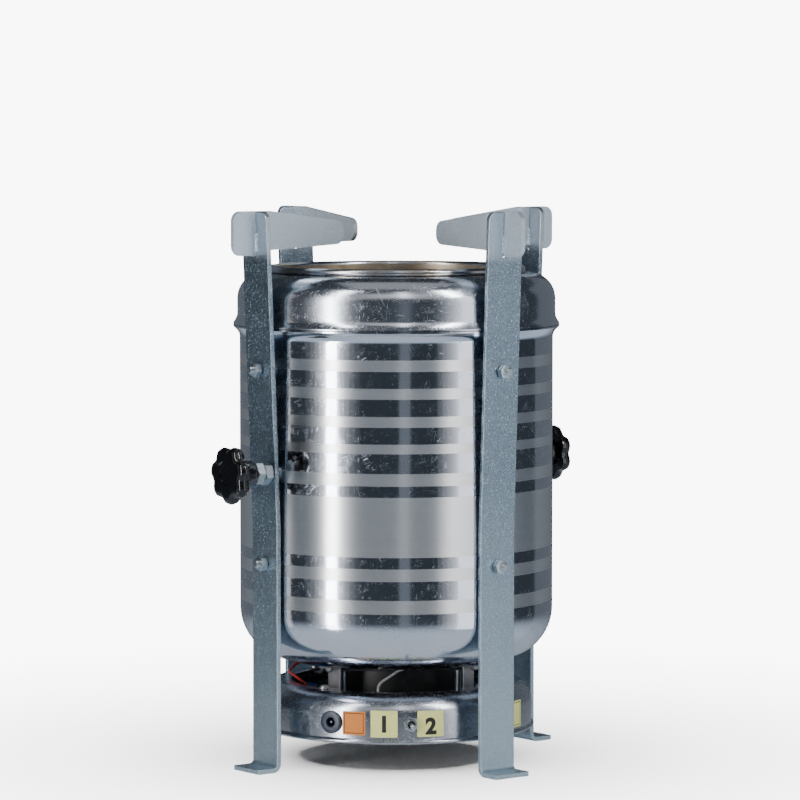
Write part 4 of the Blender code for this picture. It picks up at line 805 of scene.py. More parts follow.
def wire_skin(name, tone):
    """Thin insulation with a soft sheen and finger marks."""
    finish = Finish(name)
    smudge = finish.noise(120.0, 3.0)
    finish.put("Base Color", finish.blend(smudge, shade(tone, 0.75), tone))
    finish.put("Roughness", 0.35 + smudge * 0.2)
    finish.put("Normal", finish.bump(finish.noise(900.0, 1.0), 0.00003, 0.3))
    return finish.material


def paper_label(name, tone):
    """Printed paper with fibres, slightly greyed by handling."""
    finish = Finish(name)
    fibre = finish.noise(1.0, 3.0, 0.7, where=finish.stretched((1800, 1800, 600)))
    smudge = finish.noise(160.0, 4.0).ramped(0.5, 0.8)
    mixed = finish.blend(fibre, shade(tone, 0.86), shade(tone, 1.06))
    finish.put("Base Color", finish.blend(smudge * 0.35, mixed, shade(tone, 0.6)))
    finish.put("Roughness", 0.5 + fibre * 0.2)
    finish.put("Normal", finish.bump(fibre, 0.00003, 0.5))
    return finish.material


def printed_ink():
    """Black print, unevenly worn."""
    finish = Finish("printed_ink")
    wear = finish.noise(900.0, 3.0)
    finish.put("Base Color", finish.blend(wear, (0.008, 0.008, 0.008), (0.03, 0.03, 0.03)))
    finish.put("Roughness", 0.45 + wear * 0.2)
    return finish.material


def pale_floor():
    """Pale table top that fades away with its distance from the stove."""
    finish = Finish("pale_floor")
    cloud = finish.noise(3.0, 3.0)
    x = finish.axis("X")
    y = finish.axis("Y")
    reach = (x * x + y * y) ** 0.5
    faded = reach.ramped(0.06, 0.55) ** 0.6
    finish.put("Base Color", finish.blend(cloud, (0.86, 0.86, 0.86), (0.90, 0.90, 0.90)))
    finish.put("Roughness", 0.55 + cloud * 0.1)
    finish.put("Alpha", 1.0 - faded)
    return finish.material


FINISHES = {}


def make_finishes(colours):
    """Every finish, under the name that the pieces call it by."""
    FINISHES.update(
        polished=polished_sheet("polished_steel", colours.steel),
        dome=polished_sheet("wiped_steel", shade(colours.steel, 0.96), 0.09),
        dulled=polished_sheet("dulled_steel", shade(colours.steel, 0.74), 0.13),
        band=brushed_band(colours),
        satin=satin_sheet(colours),
        galvanised=galvanised_bar(colours),
        # A lighter copy of the galvanised bar: its lift of 1.7 is painted light of the fire on the wings.
        support=galvanised_bar(colours, "galvanised_plate", 1.7, 0.6),
        zinc=bright_zinc(colours),
        knob=moulded_black(colours),
        fan=fan_plastic(colours),
        socket=socket_plastic(colours),
        heated=heated_steel(colours),
        rim=rim_steel(colours),
        copper=copper_winding(),
        cell=shrink_wrap(),
        board=circuit_board(),
        white_wire=wire_skin("white_wire", (0.80, 0.80, 0.77)),
        red_wire=wire_skin("red_wire", (0.55, 0.03, 0.02)),
        label=paper_label("paper_label", tuple(colours.label)),
        sticker=paper_label("blank_sticker", tuple(colours.sticker)),
        ink=printed_ink(),
        floor=pale_floor(),
    )


class Tree:
    """A geometry-nodes tree with one geometry input, named inputs and one geometry output."""

    def __init__(self, name, inputs):
        self.tree = bpy.data.node_groups.new(name, "GeometryNodeTree")
        self.tree.is_modifier = True
        face = self.tree.interface
        face.new_socket("Geometry", in_out="INPUT", socket_type="NodeSocketGeometry")
        self.keys = {}
        for label, kind in inputs.items():
            self.keys[label] = face.new_socket(label, in_out="INPUT", socket_type=kind).identifier
        face.new_socket("Geometry", in_out="OUTPUT", socket_type="NodeSocketGeometry")
        self.entry = self.tree.nodes.new("NodeGroupInput")
        self.exit = self.tree.nodes.new("NodeGroupOutput")

    def feed(self, socket, value):
        if isinstance(value, bpy.types.NodeSocket):
            self.tree.links.new(value, socket)
        else:
            socket.default_value = value

    def node(self, kind, settings=None, **inputs):
        made = self.tree.nodes.new(kind)
        for field, value in (settings or {}).items():
            setattr(made, field, value)
        for socket, value in inputs.items():
            self.feed(made.inputs[socket.replace("_", " ")], value)
        return made

    def given(self, label):
        return self.entry.outputs[label]

    def maths(self, operation, first, second):
        made = self.node("ShaderNodeMath", {"operation": operation})
        self.feed(made.inputs[0], first)
        self.feed(made.inputs[1], second)
        return made.outputs[0]

    def ring_of(self, instance, first):
        """Copies of the instance at equal turns about Z: as many as Count says, from the first turn."""
        count = self.given("Count")
        points = self.node("GeometryNodePoints", Count=count).outputs[0]
        share = self.maths("DIVIDE", self.node("GeometryNodeInputIndex").outputs[0], count)
        turn = self.maths("ADD", self.maths("MULTIPLY", share, 2 * math.pi), first)
        spin = self.node("FunctionNodeAxisAngleToRotation", Axis=(0.0, 0.0, 1.0), Angle=turn).outputs[0]
        copies = self.node("GeometryNodeInstanceOnPoints", Points=points, Instance=instance, Rotation=spin)
        return copies.outputs[0]

    def finish(self, geometry):
        real = self.node("GeometryNodeRealizeInstances", Geometry=geometry).outputs[0]
        coated = self.node("GeometryNodeSetMaterial", Geometry=real, Material=self.given("Finish"))
        self.tree.links.new(coated.outputs[0], self.exit.inputs[0])

    def applied(self, mesh, **values):
        """The mesh after this tree, with its named inputs set."""
        source = bpy.data.objects.new(mesh.name, mesh)
        step = source.modifiers.new(self.tree.name, "NODES")
        step.node_group = self.tree
        for label, value in values.items():
            step[self.keys[label.replace("_", " ")]] = value
        return baked(source)


TREES = {}


def around_axis_tree():
    """Copies of the geometry at equal turns about the stove's axis."""
    tree = Tree(
        "copies_around_axis",
        {"Count": "NodeSocketInt", "First turn": "NodeSocketFloat", "Finish": "NodeSocketMaterial"},
    )
    tree.finish(tree.ring_of(tree.given("Geometry"), tree.given("First turn")))
    return tree


def perforation_tree():
    """Round holes at equal turns through an upright wall, drilled from the axis outward."""
    tree = Tree(
        "perforated_wall",
        {
            "Count": "NodeSocketInt",
            "Radius": "NodeSocketFloat",
            "Wall radius": "NodeSocketFloat",
            "Height": "NodeSocketFloat",
            "Finish": "NodeSocketMaterial",
        },
    )
    drill = tree.node("GeometryNodeMeshCylinder", Vertices=24, Radius=tree.given("Radius"), Depth=0.012)
    place = tree.node("ShaderNodeCombineXYZ", X=tree.given("Wall radius"), Z=tree.given("Height"))
    pose = {"Translation": place.outputs[0], "Rotation": (0.0, math.pi / 2, 0.0)}
    lying = tree.node("GeometryNodeTransform", Geometry=drill.outputs[0], **pose).outputs[0]
    half_step = tree.maths("DIVIDE", math.pi, tree.given("Count"))
    drills = tree.node("GeometryNodeRealizeInstances", Geometry=tree.ring_of(lying, half_step))
    cut = tree.node("GeometryNodeMeshBoolean", {"operation": "DIFFERENCE", "solver": "EXACT"})
    tree.feed(cut.inputs["Mesh 1"], tree.given("Geometry"))
    tree.feed(cut.inputs["Mesh 2"], drills.outputs[0])
    tree.finish(cut.outputs["Mesh"])
    return tree


def weld_tree():
    """A drop of slightly varied size at every vertex, as a run of weld."""
    tree = Tree("weld_run", {"Bead": "NodeSocketFloat", "Finish": "NodeSocketMaterial"})
    spots = tree.node("GeometryNodeMergeByDistance", Geometry=tree.given("Geometry"), Distance=0.00001)
    points = tree.node("GeometryNodeMeshToPoints", Mesh=spots.outputs[0]).outputs[0]
    drop = tree.node("GeometryNodeMeshIcoSphere", Radius=tree.given("Bead"), Subdivisions=2).outputs[0]
    wander = tree.node("FunctionNodeRandomValue", {"data_type": "FLOAT"}, Seed=7)
    tree.feed(wander.inputs[2], 0.75)
    tree.feed(wander.inputs[3], 1.15)
    drops = tree.node("GeometryNodeInstanceOnPoints", Points=points, Instance=drop)
    tree.feed(drops.inputs["Scale"], wander.outputs[1])
    tree.finish(drops.outputs[0])
    return tree


def make_trees():
    TREES.update(around=around_axis_tree(), perforated=perforation_tree(), weld=weld_tree())


def around(mesh, count, first, finish):
    """Copies of a mesh made at azimuth 0, the first of them turned to this azimuth in degrees."""
    return TREES["around"].applied(mesh, Count=count, First_turn=math.radians(first), Finish=finish)


BANDS_MM = (
    (254.5, 247.6),
    (237.4, 230.8),
    (220.4, 213.9),
    (203.7, 197.9),
    (185.9, 178.3),
    (171.5, 135.0),
    (128.1, 120.5),
    (109.0, 100.6),
)


def flare_points(radius, reach, z_wall, z_seam, steps=7):
    """A smooth sweep from an upright wall out to the seam, from the wall's end."""
    points = []
    for k in range(steps + 1):
        share = k / steps
        outward = (1 - math.cos(share * math.pi / 2)) ** 1.25
        points.append((radius + (reach - radius) * outward, z_wall + (z_seam - z_wall) * share))
    return points


def body_profile(sizes):
    """Outer face from the seam down, floor, then the inner face back up."""
    seam_z = BODY_HIGH.z
    floor_z = BODY_LOW.z
    seam_r = BODY_HIGH.x
    sheet = sizes.sheet
    radius = sizes.body_radius
    flare_z = seam_z - sizes.flare
    corner_r = radius - sizes.body_corner
    corner_z = floor_z + sizes.body_corner
    opening = sizes.fan_bore - sheet
    outer = flare_points(radius, seam_r, flare_z, seam_z - sheet)[::-1]
    walls = []
    for high, low in BANDS_MM:
        walls += [(radius, high * MM), (radius, low * MM)]
    bottom = arc(corner_r, corner_z, sizes.body_corner, 0, -90, 20)
    rise = arc(corner_r, corner_z, sizes.body_corner - sheet, -90, 0, 14)
    lip = seam_r - sizes.seam_lip
    inner = flare_points(radius - sheet, lip, flare_z, seam_z - 0.3 * sheet)
    edge = 0.25 * sheet
    rim = [(lip, seam_z), (seam_r - edge, seam_z), (seam_r, seam_z - edge), (seam_r, seam_z - sheet + edge)]
    floor = [(opening, floor_z), (opening, floor_z + sheet)]
    return [*rim[1:], *outer, *walls, *bottom, *floor, *rise, *inner, rim[0]]


def in_band(height):
    """Whether the body is turned matte at this height."""
    return any(low * MM < height < high * MM for high, low in BANDS_MM)


class STOVE_OT_body(Operator):
    """Canister with its turned bands, and the dome on its seam"""

    bl_idname = "stove.body"
    bl_label = "Body and dome"

    def execute(self, context):
        sizes = context.scene.stove_sizes
        canister = lathe("body_shell", body_profile(sizes), SHELL_STEPS)
        painted(canister, FINISHES["polished"], FINISHES["band"])
        outer = sizes.body_radius - 0.5 * sizes.sheet
        for face in canister.polygons:
            middle = face.center
            outside = math.hypot(middle.x, middle.y) > outer
            face.material_index = int(outside and in_band(middle.z))
        piece("canister", canister, ["body_shell"])
        dome = lathe("dome_shell", self.dome_profile(sizes), SHELL_STEPS)
        piece("dome", dome, ["dome_shell"], finish="dome")
        return {"FINISHED"}

    def dome_profile(self, sizes):
        """Outer face from the opening down to the seam, then the inner face back up."""
        sheet = sizes.sheet
        ring_clearance = 0.0007
        top = DOME_HIGH.z
        foot = DOME_LOW.z
        seam_r = DOME_HIGH.x
        radius = sizes.dome_radius
        shoulder_r = radius - sizes.dome_shoulder
        shoulder_z = top - sizes.dome_shoulder
        opening = sizes.ring_bore + sheet + ring_clearance
        wall_z = foot + sizes.flare
        outer = flare_points(radius, seam_r, wall_z, foot + sheet)
        inner = flare_points(radius - sheet, seam_r - sizes.seam_lip, wall_z, foot + 0.3 * sheet)
        edge = 0.25 * sheet
        rim = [(seam_r, foot + edge), (seam_r - edge, foot), (seam_r - sizes.seam_lip, foot)]
        crown = arc(shoulder_r, shoulder_z, sizes.dome_shoulder, 90, 0, 16)
        under = arc(shoulder_r, shoulder_z, sizes.dome_shoulder - sheet, 0, 90, 12)
        return [(opening, top), *crown, *outer, *rim, *inner[::-1], *under, (opening, top - sheet)]


class STOVE_OT_fire(Operator):
    """Burner ring, fire tube, grate and ash deflector"""

    bl_idname = "stove.fire"
    bl_label = "Fire chamber"

    def execute(self, context):
        sizes = context.scene.stove_sizes
        self.ring(sizes)
        self.tube(sizes)
        self.grate(sizes)
        paint_node("ash_deflector", "satin")
        return {"FINISHED"}

    def ring(self, sizes):
        """Rolled bead and perforated wall, bright above its seat and tinted by heat below it."""
        bore = sizes.ring_bore
        bead = sizes.ring_bead
        outer = bore + sizes.sheet
        seat = RING_HIGH.z - 2 * bead
        profile = arc(bore + bead, RING_HIGH.z - bead, bead, 180, -90, 18)
        profile += [(outer, seat), (outer, RING_LOW.z), (bore, RING_LOW.z)]
        wall = painted(lathe("ring_wall", profile, 192), FINISHES["rim"])
        ring = TREES["perforated"].applied(
            wall,
            Count=sizes.air_holes,
            Radius=sizes.air_hole,
            Wall_radius=bore,
            Height=DOME_HIGH.z - sizes.air_hole_drop,
            Finish=FINISHES["rim"],
        )
        painted(ring, FINISHES["rim"], FINISHES["heated"])
        for face in ring.polygons:
            face.material_index = int(face.center.z < seat)
        piece("fire_ring", smoothed(ring), ["burner_ring"])

    def tube(self, sizes):
        """Upright tube whose foot turns inward to a ledge for the grate."""
        sheet = sizes.sheet
        bend = 0.0016
        ledge_width = 0.0076
        outer = CHAMBER_HIGH.x
        inner = outer - sheet
        ledge = inner - ledge_width
        low = CHAMBER_LOW.z
        high = CHAMBER_HIGH.z
        profile = [(outer, high), *arc(outer - bend, low + bend, bend, 0, -90, 5)]
        profile += [(ledge, low), (ledge, low + sheet), (inner - 0.3 * sheet, low + sheet)]
        profile += [(inner, low + 1.3 * sheet), (inner, high)]
        tube = lathe("fire_tube", profile, 160)
        piece("fire_tube", tube, ["combustion_chamber"], finish="heated")

    def grate(self, sizes):
        """Disc with one hole in the middle and two rings of holes round it."""
        outlines = [circle(GRATE_HIGH.x, 96)]
        for ring in range(3):
            for x, y in circle(ring * sizes.grate_pitch, max(1, 6 * ring)):
                outlines.append(circle(sizes.grate_hole, 20, x, y))
        place = upright_frame(height=(GRATE_LOW.z + GRATE_HIGH.z) / 2)
        mesh = bevelled(slab("grate", outlines, GRATE_HIGH.z - GRATE_LOW.z, place), 0.0004)
        piece("grate", mesh, ["fuel_grate"], finish="heated")


def leg_face(sizes, height):
    """Radius of a leg's inner face at this height."""
    return sizes.leg_inner + max(0.0, height - sizes.leg_bend_height) * math.tan(sizes.leg_lean)


def leg_nut_face(sizes, height, half):
    """Radius at which a nut of this half height clears the leg's outer face."""
    return leg_face(sizes, height + half) + sizes.leg_thickness / math.cos(sizes.leg_lean) + GAP


class STOVE_OT_legs(Operator):
    """Four legs of flat bar with bent feet, slotted tops and drilled holes"""

    bl_idname = "stove.legs"
    bl_label = "Legs"

    def execute(self, context):
        sizes = context.scene.stove_sizes
        for corner, azimuth in CORNERS.items():
            leg = bevelled(cut_with(self.bar(sizes), self.cutters(sizes, corner)), 0.0005, 35.0)
            leg.transform(turn_frame(azimuth))
            piece("bar_" + corner, leg, ["leg_" + corner], finish="galvanised")
        return {"FINISHED"}

    def bar(self, sizes):
        """The bent strip as a closed solid, in a frame with Y up and Z outward."""
        foot_bend = 0.004
        lean_bend = 0.04
        top_corner = 0.005
        half = sizes.leg_thickness / 2
        middle = sizes.leg_inner + half
        rise = LEG_HIGH.z - half * math.sin(sizes.leg_lean)
        corners = [
            (sizes.foot_radius, half, 0.0),
            (middle, half, foot_bend),
            (middle, sizes.leg_bend_height, lean_bend),
            (leg_face(sizes, rise) + half, rise, 0.0),
        ]
        cage, rows = strip_cage(bent_path(corners, 8), sizes.leg_width)
        corner = dict(offset=top_corner, offset_type="OFFSET", segments=8, profile=0.5, affect="VERTICES")
        bmesh.ops.bevel(cage, geom=list(rows[-1]), **corner)
        return thickened(finished_mesh("bar", cage), sizes.leg_thickness, even=True)

    def cutters(self, sizes, corner):
        """Slot of the pot support, holes of the bolts and, in two of the legs, of a knob's stud."""
        bolt_hole = 0.00275
        stud_hole = 0.0042
        reach = 0.012
        slot_bottom = SUPPORT_LOW.z - GAP
        tall = LEG_HIGH.z + sizes.leg_thickness - slot_bottom
        middle = slot_bottom + tall / 2
        depth = leg_face(sizes, middle) + sizes.leg_thickness / 2
        size = (sizes.support_thickness + 2 * GAP, tall, 4 * sizes.leg_thickness)
        drills = [block("slot", size, (0.0, middle, depth))]
        spots = [(0.0, sizes.bolt_low, bolt_hole, 24), (0.0, sizes.bolt_high, bolt_hole, 24)]
        if corner in KNOB_CORNERS.values():
            spots.append((sizes.knob_offset, sizes.knob_height, stud_hole, 32))
        for side, height, radius, steps in spots:
            place = Matrix.Translation((side, height, leg_face(sizes, height)))
            drills.append(rod("drill", radius, -reach, reach, steps, place))
        return drills


class STOVE_OT_supports(Operator):
    """Four radial pot supports and the welds that hold them in the legs"""

    bl_idname = "stove.supports"
    bl_label = "Pot supports"

    def execute(self, context):
        sizes = context.scene.stove_sizes
        plate = slab("plate", [self.outline(sizes)], sizes.support_thickness)
        plate = bevelled(plate, 0.00045, 35.0)
        for corner, azimuth in CORNERS.items():
            copy = plate.copy()
            copy.transform(turn_frame(azimuth) @ Matrix.Rotation(-math.pi / 2, 4, "Y"))
            name = "support_" + corner
            piece(name, copy, ["pot_support_" + corner], finish="support")
        drops = TREES["weld"].applied(self.weld_lines(sizes), Bead=0.0008, Finish=FINISHES["support"])
        drops.shade_smooth()
        piece("support_welds", drops)
        return {"FINISHED"}

    def outline(self, sizes):
        """Side view of a pot support as (outward, up) points: wing, level top, sloping arm, heel."""
        fillet = 0.006
        heel = 0.0028
        low = SUPPORT_LOW.z
        high = SUPPORT_HIGH.z
        face = leg_face(sizes, low)
        wing = face + sizes.leg_thickness + sizes.support_wing
        level = leg_face(sizes, high) - sizes.support_level
        tip = sizes.support_tip
        tip_top = high - sizes.support_tip_drop
        corners = [(wing, low), (wing, high), (level, high), (tip, tip_top)]
        corners.append((tip, tip_top - sizes.support_tip_height))
        filleted = [(x, y, fillet) for x, y in corners]
        return rounded([*filleted, (face - GAP, low + heel, 0.0), (face - GAP, low, 0.0)])

    def weld_lines(self, sizes):
        """Points along the corners between plate and leg, inside and outside, at every leg."""
        drops = 9
        pitch = 0.0012
        lowest = SUPPORT_LOW.z + 0.003
        side = sizes.support_thickness / 2 + 0.0004
        cage = bmesh.new()
        for azimuth in CORNERS.values():
            place = turn_frame(azimuth)
            for face in (0.0, sizes.leg_thickness):
                for sign in (-1, 1):
                    for k in range(drops):
                        height = lowest + pitch * k
                        depth = leg_face(sizes, height) + face
                        cage.verts.new(place @ Vector((sign * side, height, depth)))
        return finished_mesh("weld_points", cage)


class STOVE_OT_bolts(Operator):
    """Leg bolts with their spacers and nuts"""

    bl_idname = "stove.bolts"
    bl_label = "Leg bolts"

    def execute(self, context):
        sizes = context.scene.stove_sizes
        nut_flats = 0.008
        nut_height = 0.004
        for level, height in (("low", sizes.bolt_low), ("high", sizes.bolt_high)):
            place = turn_frame(0.0, height=height)
            nut_face = leg_nut_face(sizes, height, nut_flats / 2)
            screw = lathe("screw", self.profile(sizes, height, nut_face), 32, place)
            seat = raised(place, nut_face + nut_height / 2, 0.3)
            nut = hex_nut("nut", nut_flats, nut_height, place=seat)
            bolts = around(joined("bolt", [screw, nut]), 4, 45.0, FINISHES["zinc"])
            nodes = [f"leg_bolt_{level}_{corner}" for corner in CORNERS]
            piece("leg_bolts_" + level, smoothed(bolts, 30.0), nodes)
        return {"FINISHED"}

    def profile(self, sizes, height, nut_face):
        """Threaded end first, then a spacer if there is room for one, and the head inside the body."""
        shank = 0.0025
        spacer = 0.005
        edge = 0.0002
        end = nut_face + 0.007
        wall = sizes.body_radius + GAP
        spacer_end = leg_face(sizes, height - spacer) - GAP
        head = sizes.body_radius - sizes.sheet - 0.0008
        profile = [(0.0, end), (0.0019, end), *thread(shank, nut_face, end - 0.0003, 0.0008)]
        if spacer_end > wall + GAP:
            profile += [(shank, spacer_end), (spacer - edge, spacer_end), (spacer, spacer_end - edge)]
            profile += [(spacer, wall), (shank, wall)]
        profile += [(shank, head), (0.0045, head), (0.0045, head - 0.0012)]
        profile += [(0.0036, head - 0.0025), (0.002, head - 0.003), (0.0, head - 0.003)]
        return profile


class STOVE_OT_knobs(Operator):
    """Studs, their nuts, and the two star knobs"""

    bl_idname = "stove.knobs"
    bl_label = "Star knobs"

    def execute(self, context):
        sizes = context.scene.stove_sizes
        half_flats = 0.0065
        nut_height = 0.0055
        reach_in_knob = 0.014
        seat_face = leg_nut_face(sizes, sizes.knob_height, half_flats)
        foot = seat_face + 2 * (nut_height + GAP)
        for side, corner in KNOB_CORNERS.items():
            place = turn_frame(CORNERS[corner], 0.0, sizes.knob_height, sizes.knob_offset)
            self.stud(side, place, foot + reach_in_knob)
            for k in (0, 1):
                label = f"nut_{side}_{k + 1}"
                seat = raised(place, seat_face + k * (nut_height + GAP) + nut_height / 2, 0.35 * k + 0.2)
                nut = hex_nut("nut", 0.0128, nut_height, 0.0042, seat)
                piece("stud_" + label, nut, ["knob_" + label], finish="zinc")
            name = "knob_" + side
            knob = self.knob(sizes)
            knob.transform(raised(place, foot, math.radians(KNOB_TURNS[side])))
            piece("star_" + name, knob, [name], name, "knob")
        return {"FINISHED"}

    def stud(self, side, place, end):
        """Threaded shank with a hexagon head inside the body."""
        radius = 0.004
        pitch = 0.00125
        head_flats = 0.013
        head_height = 0.0052
        inside = 0.0901
        middle = inside + head_height / 2
        profile = [(0.0, end), (0.0036, end), *thread(radius, inside + 0.0053, end - 0.0004, pitch)]
        profile += [(radius, middle), (0.0, middle)]
        shank = lathe("shank", profile, 40, place)
        head = hex_nut("head", head_flats, head_height, place=raised(place, middle))
        stud = joined("stud", [shank, head])
        piece("stud_" + side, stud, ["knob_stud_" + side], finish="zinc")

    def knob(self, sizes):
        """Seven round lobes with shallow valleys, dimpled face, fluted hub, blind bore."""
        lobes = 7
        hub_top = sizes.knob_hub
        hub = lathe("hub", self.hub_profile(hub_top), 64)
        flute_depth = 0.0009
        flute_radius = 0.0022
        flutes = []
        for x, y in circle(HUB_RADIUS + flute_radius - flute_depth, lobes, phase=180.0 / lobes):
            place = Matrix.Translation((x, y, -0.0135))
            flutes.append(rod("flute", flute_radius, -0.01, 0.02, 16, place))
        hub = cut_with(hub, flutes)
        bore_depth = 0.0143
        bore = rod("bore", 0.0043, -0.002, bore_depth, 32)
        face = hub_top + sizes.knob_head
        dimple = [(0.0, 0.022), (0.0068, 0.022), (0.0062, face - 0.0007), (0.0, face - 0.0009)]
        whole = cut_with(self.star(sizes, lobes), [hub], "UNION")
        whole = cut_with(whole, [bore, lathe("dimple", dimple, 48)])
        return smoothed(whole, 50.0)

    def hub_profile(self, top):
        """From inside the star down to the hub's foot, a little narrower there."""
        radius = HUB_RADIUS
        profile = [(0.0, top + 0.002), (radius, top + 0.002), (radius, top - 0.0004)]
        profile += [(radius - 0.0003, top - 0.0014), (radius - 0.0016, 0.0006), (radius - 0.0022, 0.0)]
        return [*profile, (0.0, 0.0)]

    def star(self, sizes, lobes):
        """The lobed head: rings of (height, inset) with a cap at each end."""
        head = sizes.knob_head
        count = lobes * 16
        rings = [
            (0.0, -0.0022),
            (0.0004, -0.0009),
            (0.0022, -0.0003),
            (head - 0.0034, 0.0),
            (head - 0.0012, -0.0009),
            (head - 0.0003, -0.0024),
            (head, -0.0046),
        ]
        cage = bmesh.new()
        loops = []
        for height, inset in rings:
            loop = []
            for k in range(count):
                turn = 2 * math.pi * k / count
                wave = (1 + math.cos(lobes * turn)) / 2
                radius = sizes.knob_radius - sizes.knob_valley * (1 - wave) ** 1.5 + inset
                spot = (radius * math.cos(turn), radius * math.sin(turn), sizes.knob_hub + height)
                loop.append(cage.verts.new(spot))
            loops.append(loop)
        for low, high in zip(loops, loops[1:]):
            for k in range(count):
                cage.faces.new((low[k], low[(k + 1) % count], high[(k + 1) % count], high[k]))
        self.cap(cage, loops[0], sizes.knob_hub, -1)
        self.cap(cage, loops[-1], sizes.knob_hub + head, 1)
        return finished_mesh("star", cage, 60.0)

    def cap(self, cage, loop, height, facing):
        """Closes a loop with a fan of triangles that face up or down."""
        centre = cage.verts.new((0.0, 0.0, height))
        for first, second in zip(loop, loop[1:] + loop[:1]):
            corners = (first, second, centre) if facing > 0 else (second, first, centre)
            cage.faces.new(corners)


class STOVE_OT_housing(Operator):
    """Fan housing dish, base plate and the brackets with their rivets"""

    bl_idname = "stove.housing"
    bl_label = "Fan housing"

    def execute(self, context):
        sizes = context.scene.stove_sizes
        dish = cut_with(lathe("dish", self.profile(sizes), SHELL_STEPS), self.panel_holes(sizes))
        piece("housing_dish", dish, ["fan_housing"], finish="dulled")
        edge = 0.0003
        rim = BASE_HIGH.x
        top = BASE_HIGH.z
        low = BASE_LOW.z
        profile = [(0.0, top), (rim - edge, top), (rim, top - edge)]
        profile += [(rim, low + edge), (rim - edge, low), (0.0, low)]
        base = lathe("base", profile, 128)
        piece("base_plate", base, ["housing_base"], finish="satin")
        self.brackets(sizes)
        return {"FINISHED"}

    def profile(self, sizes):
        """Top, shoulder, wall with its rolled rim and the lip below, then the inner face back up."""
        top = HOUSING_HIGH.z
        low = HOUSING_LOW.z
        sheet = sizes.sheet
        radius = sizes.housing_radius
        shoulder = sizes.housing_shoulder
        bead = 0.0013
        lip_bore = 0.0805
        opening = sizes.housing_opening
        edge = opening + 0.0003
        outer = arc(radius - shoulder, top - shoulder, shoulder, 90, 0, 14)
        roll = arc(radius, low + 1.3 * bead, bead, 70, -90, 8)
        inner = arc(radius - shoulder, top - shoulder, shoulder - sheet, 0, 90, 10)
        wall = [(edge, top), *outer, (radius, low + 2.7 * bead), *roll]
        lip = [(lip_bore, low), (lip_bore, low + sheet), (radius - sheet, low + sheet)]
        rim = [(edge, top - sheet), (opening, top - 0.7 * sheet), (opening, top - 0.3 * sheet)]
        return [*wall, *lip, *inner, *rim]

    def panel_holes(self, sizes):
        """Cutters for the holes of the socket and the switch."""
        drills = []
        for turn, radius in ((sizes.jack_turn, 0.0057), (sizes.switch_turn, 0.0032)):
            place = turn_frame(math.degrees(turn), sizes.housing_radius, sizes.panel_height)
            drills.append(rod("drill", radius, -0.006, 0.006, 32, place))
        return drills

    def brackets(self, sizes):
        """One bracket bent up at azimuth 0 with its two rivets, then copied to the fan's corners."""
        top = BODY_LOW.z - 0.0009
        low = HOUSING_HIGH.z - 0.0019
        upright = 0.0586
        bend = 0.0015
        corners = [(0.068, top, 0.0), (upright, top, bend), (upright, low, bend), (0.0714, low, 0.0)]
        width = 0.01
        thickness = 0.0012
        cage = strip_cage(bent_path(corners, 5), width)[0]
        strip = bevelled(thickened(finished_mesh("strip", cage), thickness), 0.0002, 50.0)
        strip.transform(turn_frame(0.0))
        parts = [strip]
        shank = 0.0015
        half_grip = 0.0031 / 2
        head = arc(0.0, half_grip - 0.0004, 0.003, 66, 8, 6)
        head = [(0.0, head[0][1] + 0.0002), *head, (shank, half_grip)]
        profile = [*head, *[(r, -z) for r, z in reversed(head)]]
        for radius, middle in ((0.0633, BODY_LOW.z - 0.00025), (0.0687, HOUSING_HIGH.z - 0.00125)):
            parts.append(lathe("rivet", profile, 24, upright_frame(0.0, radius, middle)))
        first = math.degrees(sizes.fan_turn) + 45.0
        brackets = around(joined("bracket", parts), 4, first, FINISHES["satin"])
        nodes = ["bracket_" + corner for corner in FAN_CORNERS]
        piece("brackets", brackets, nodes)


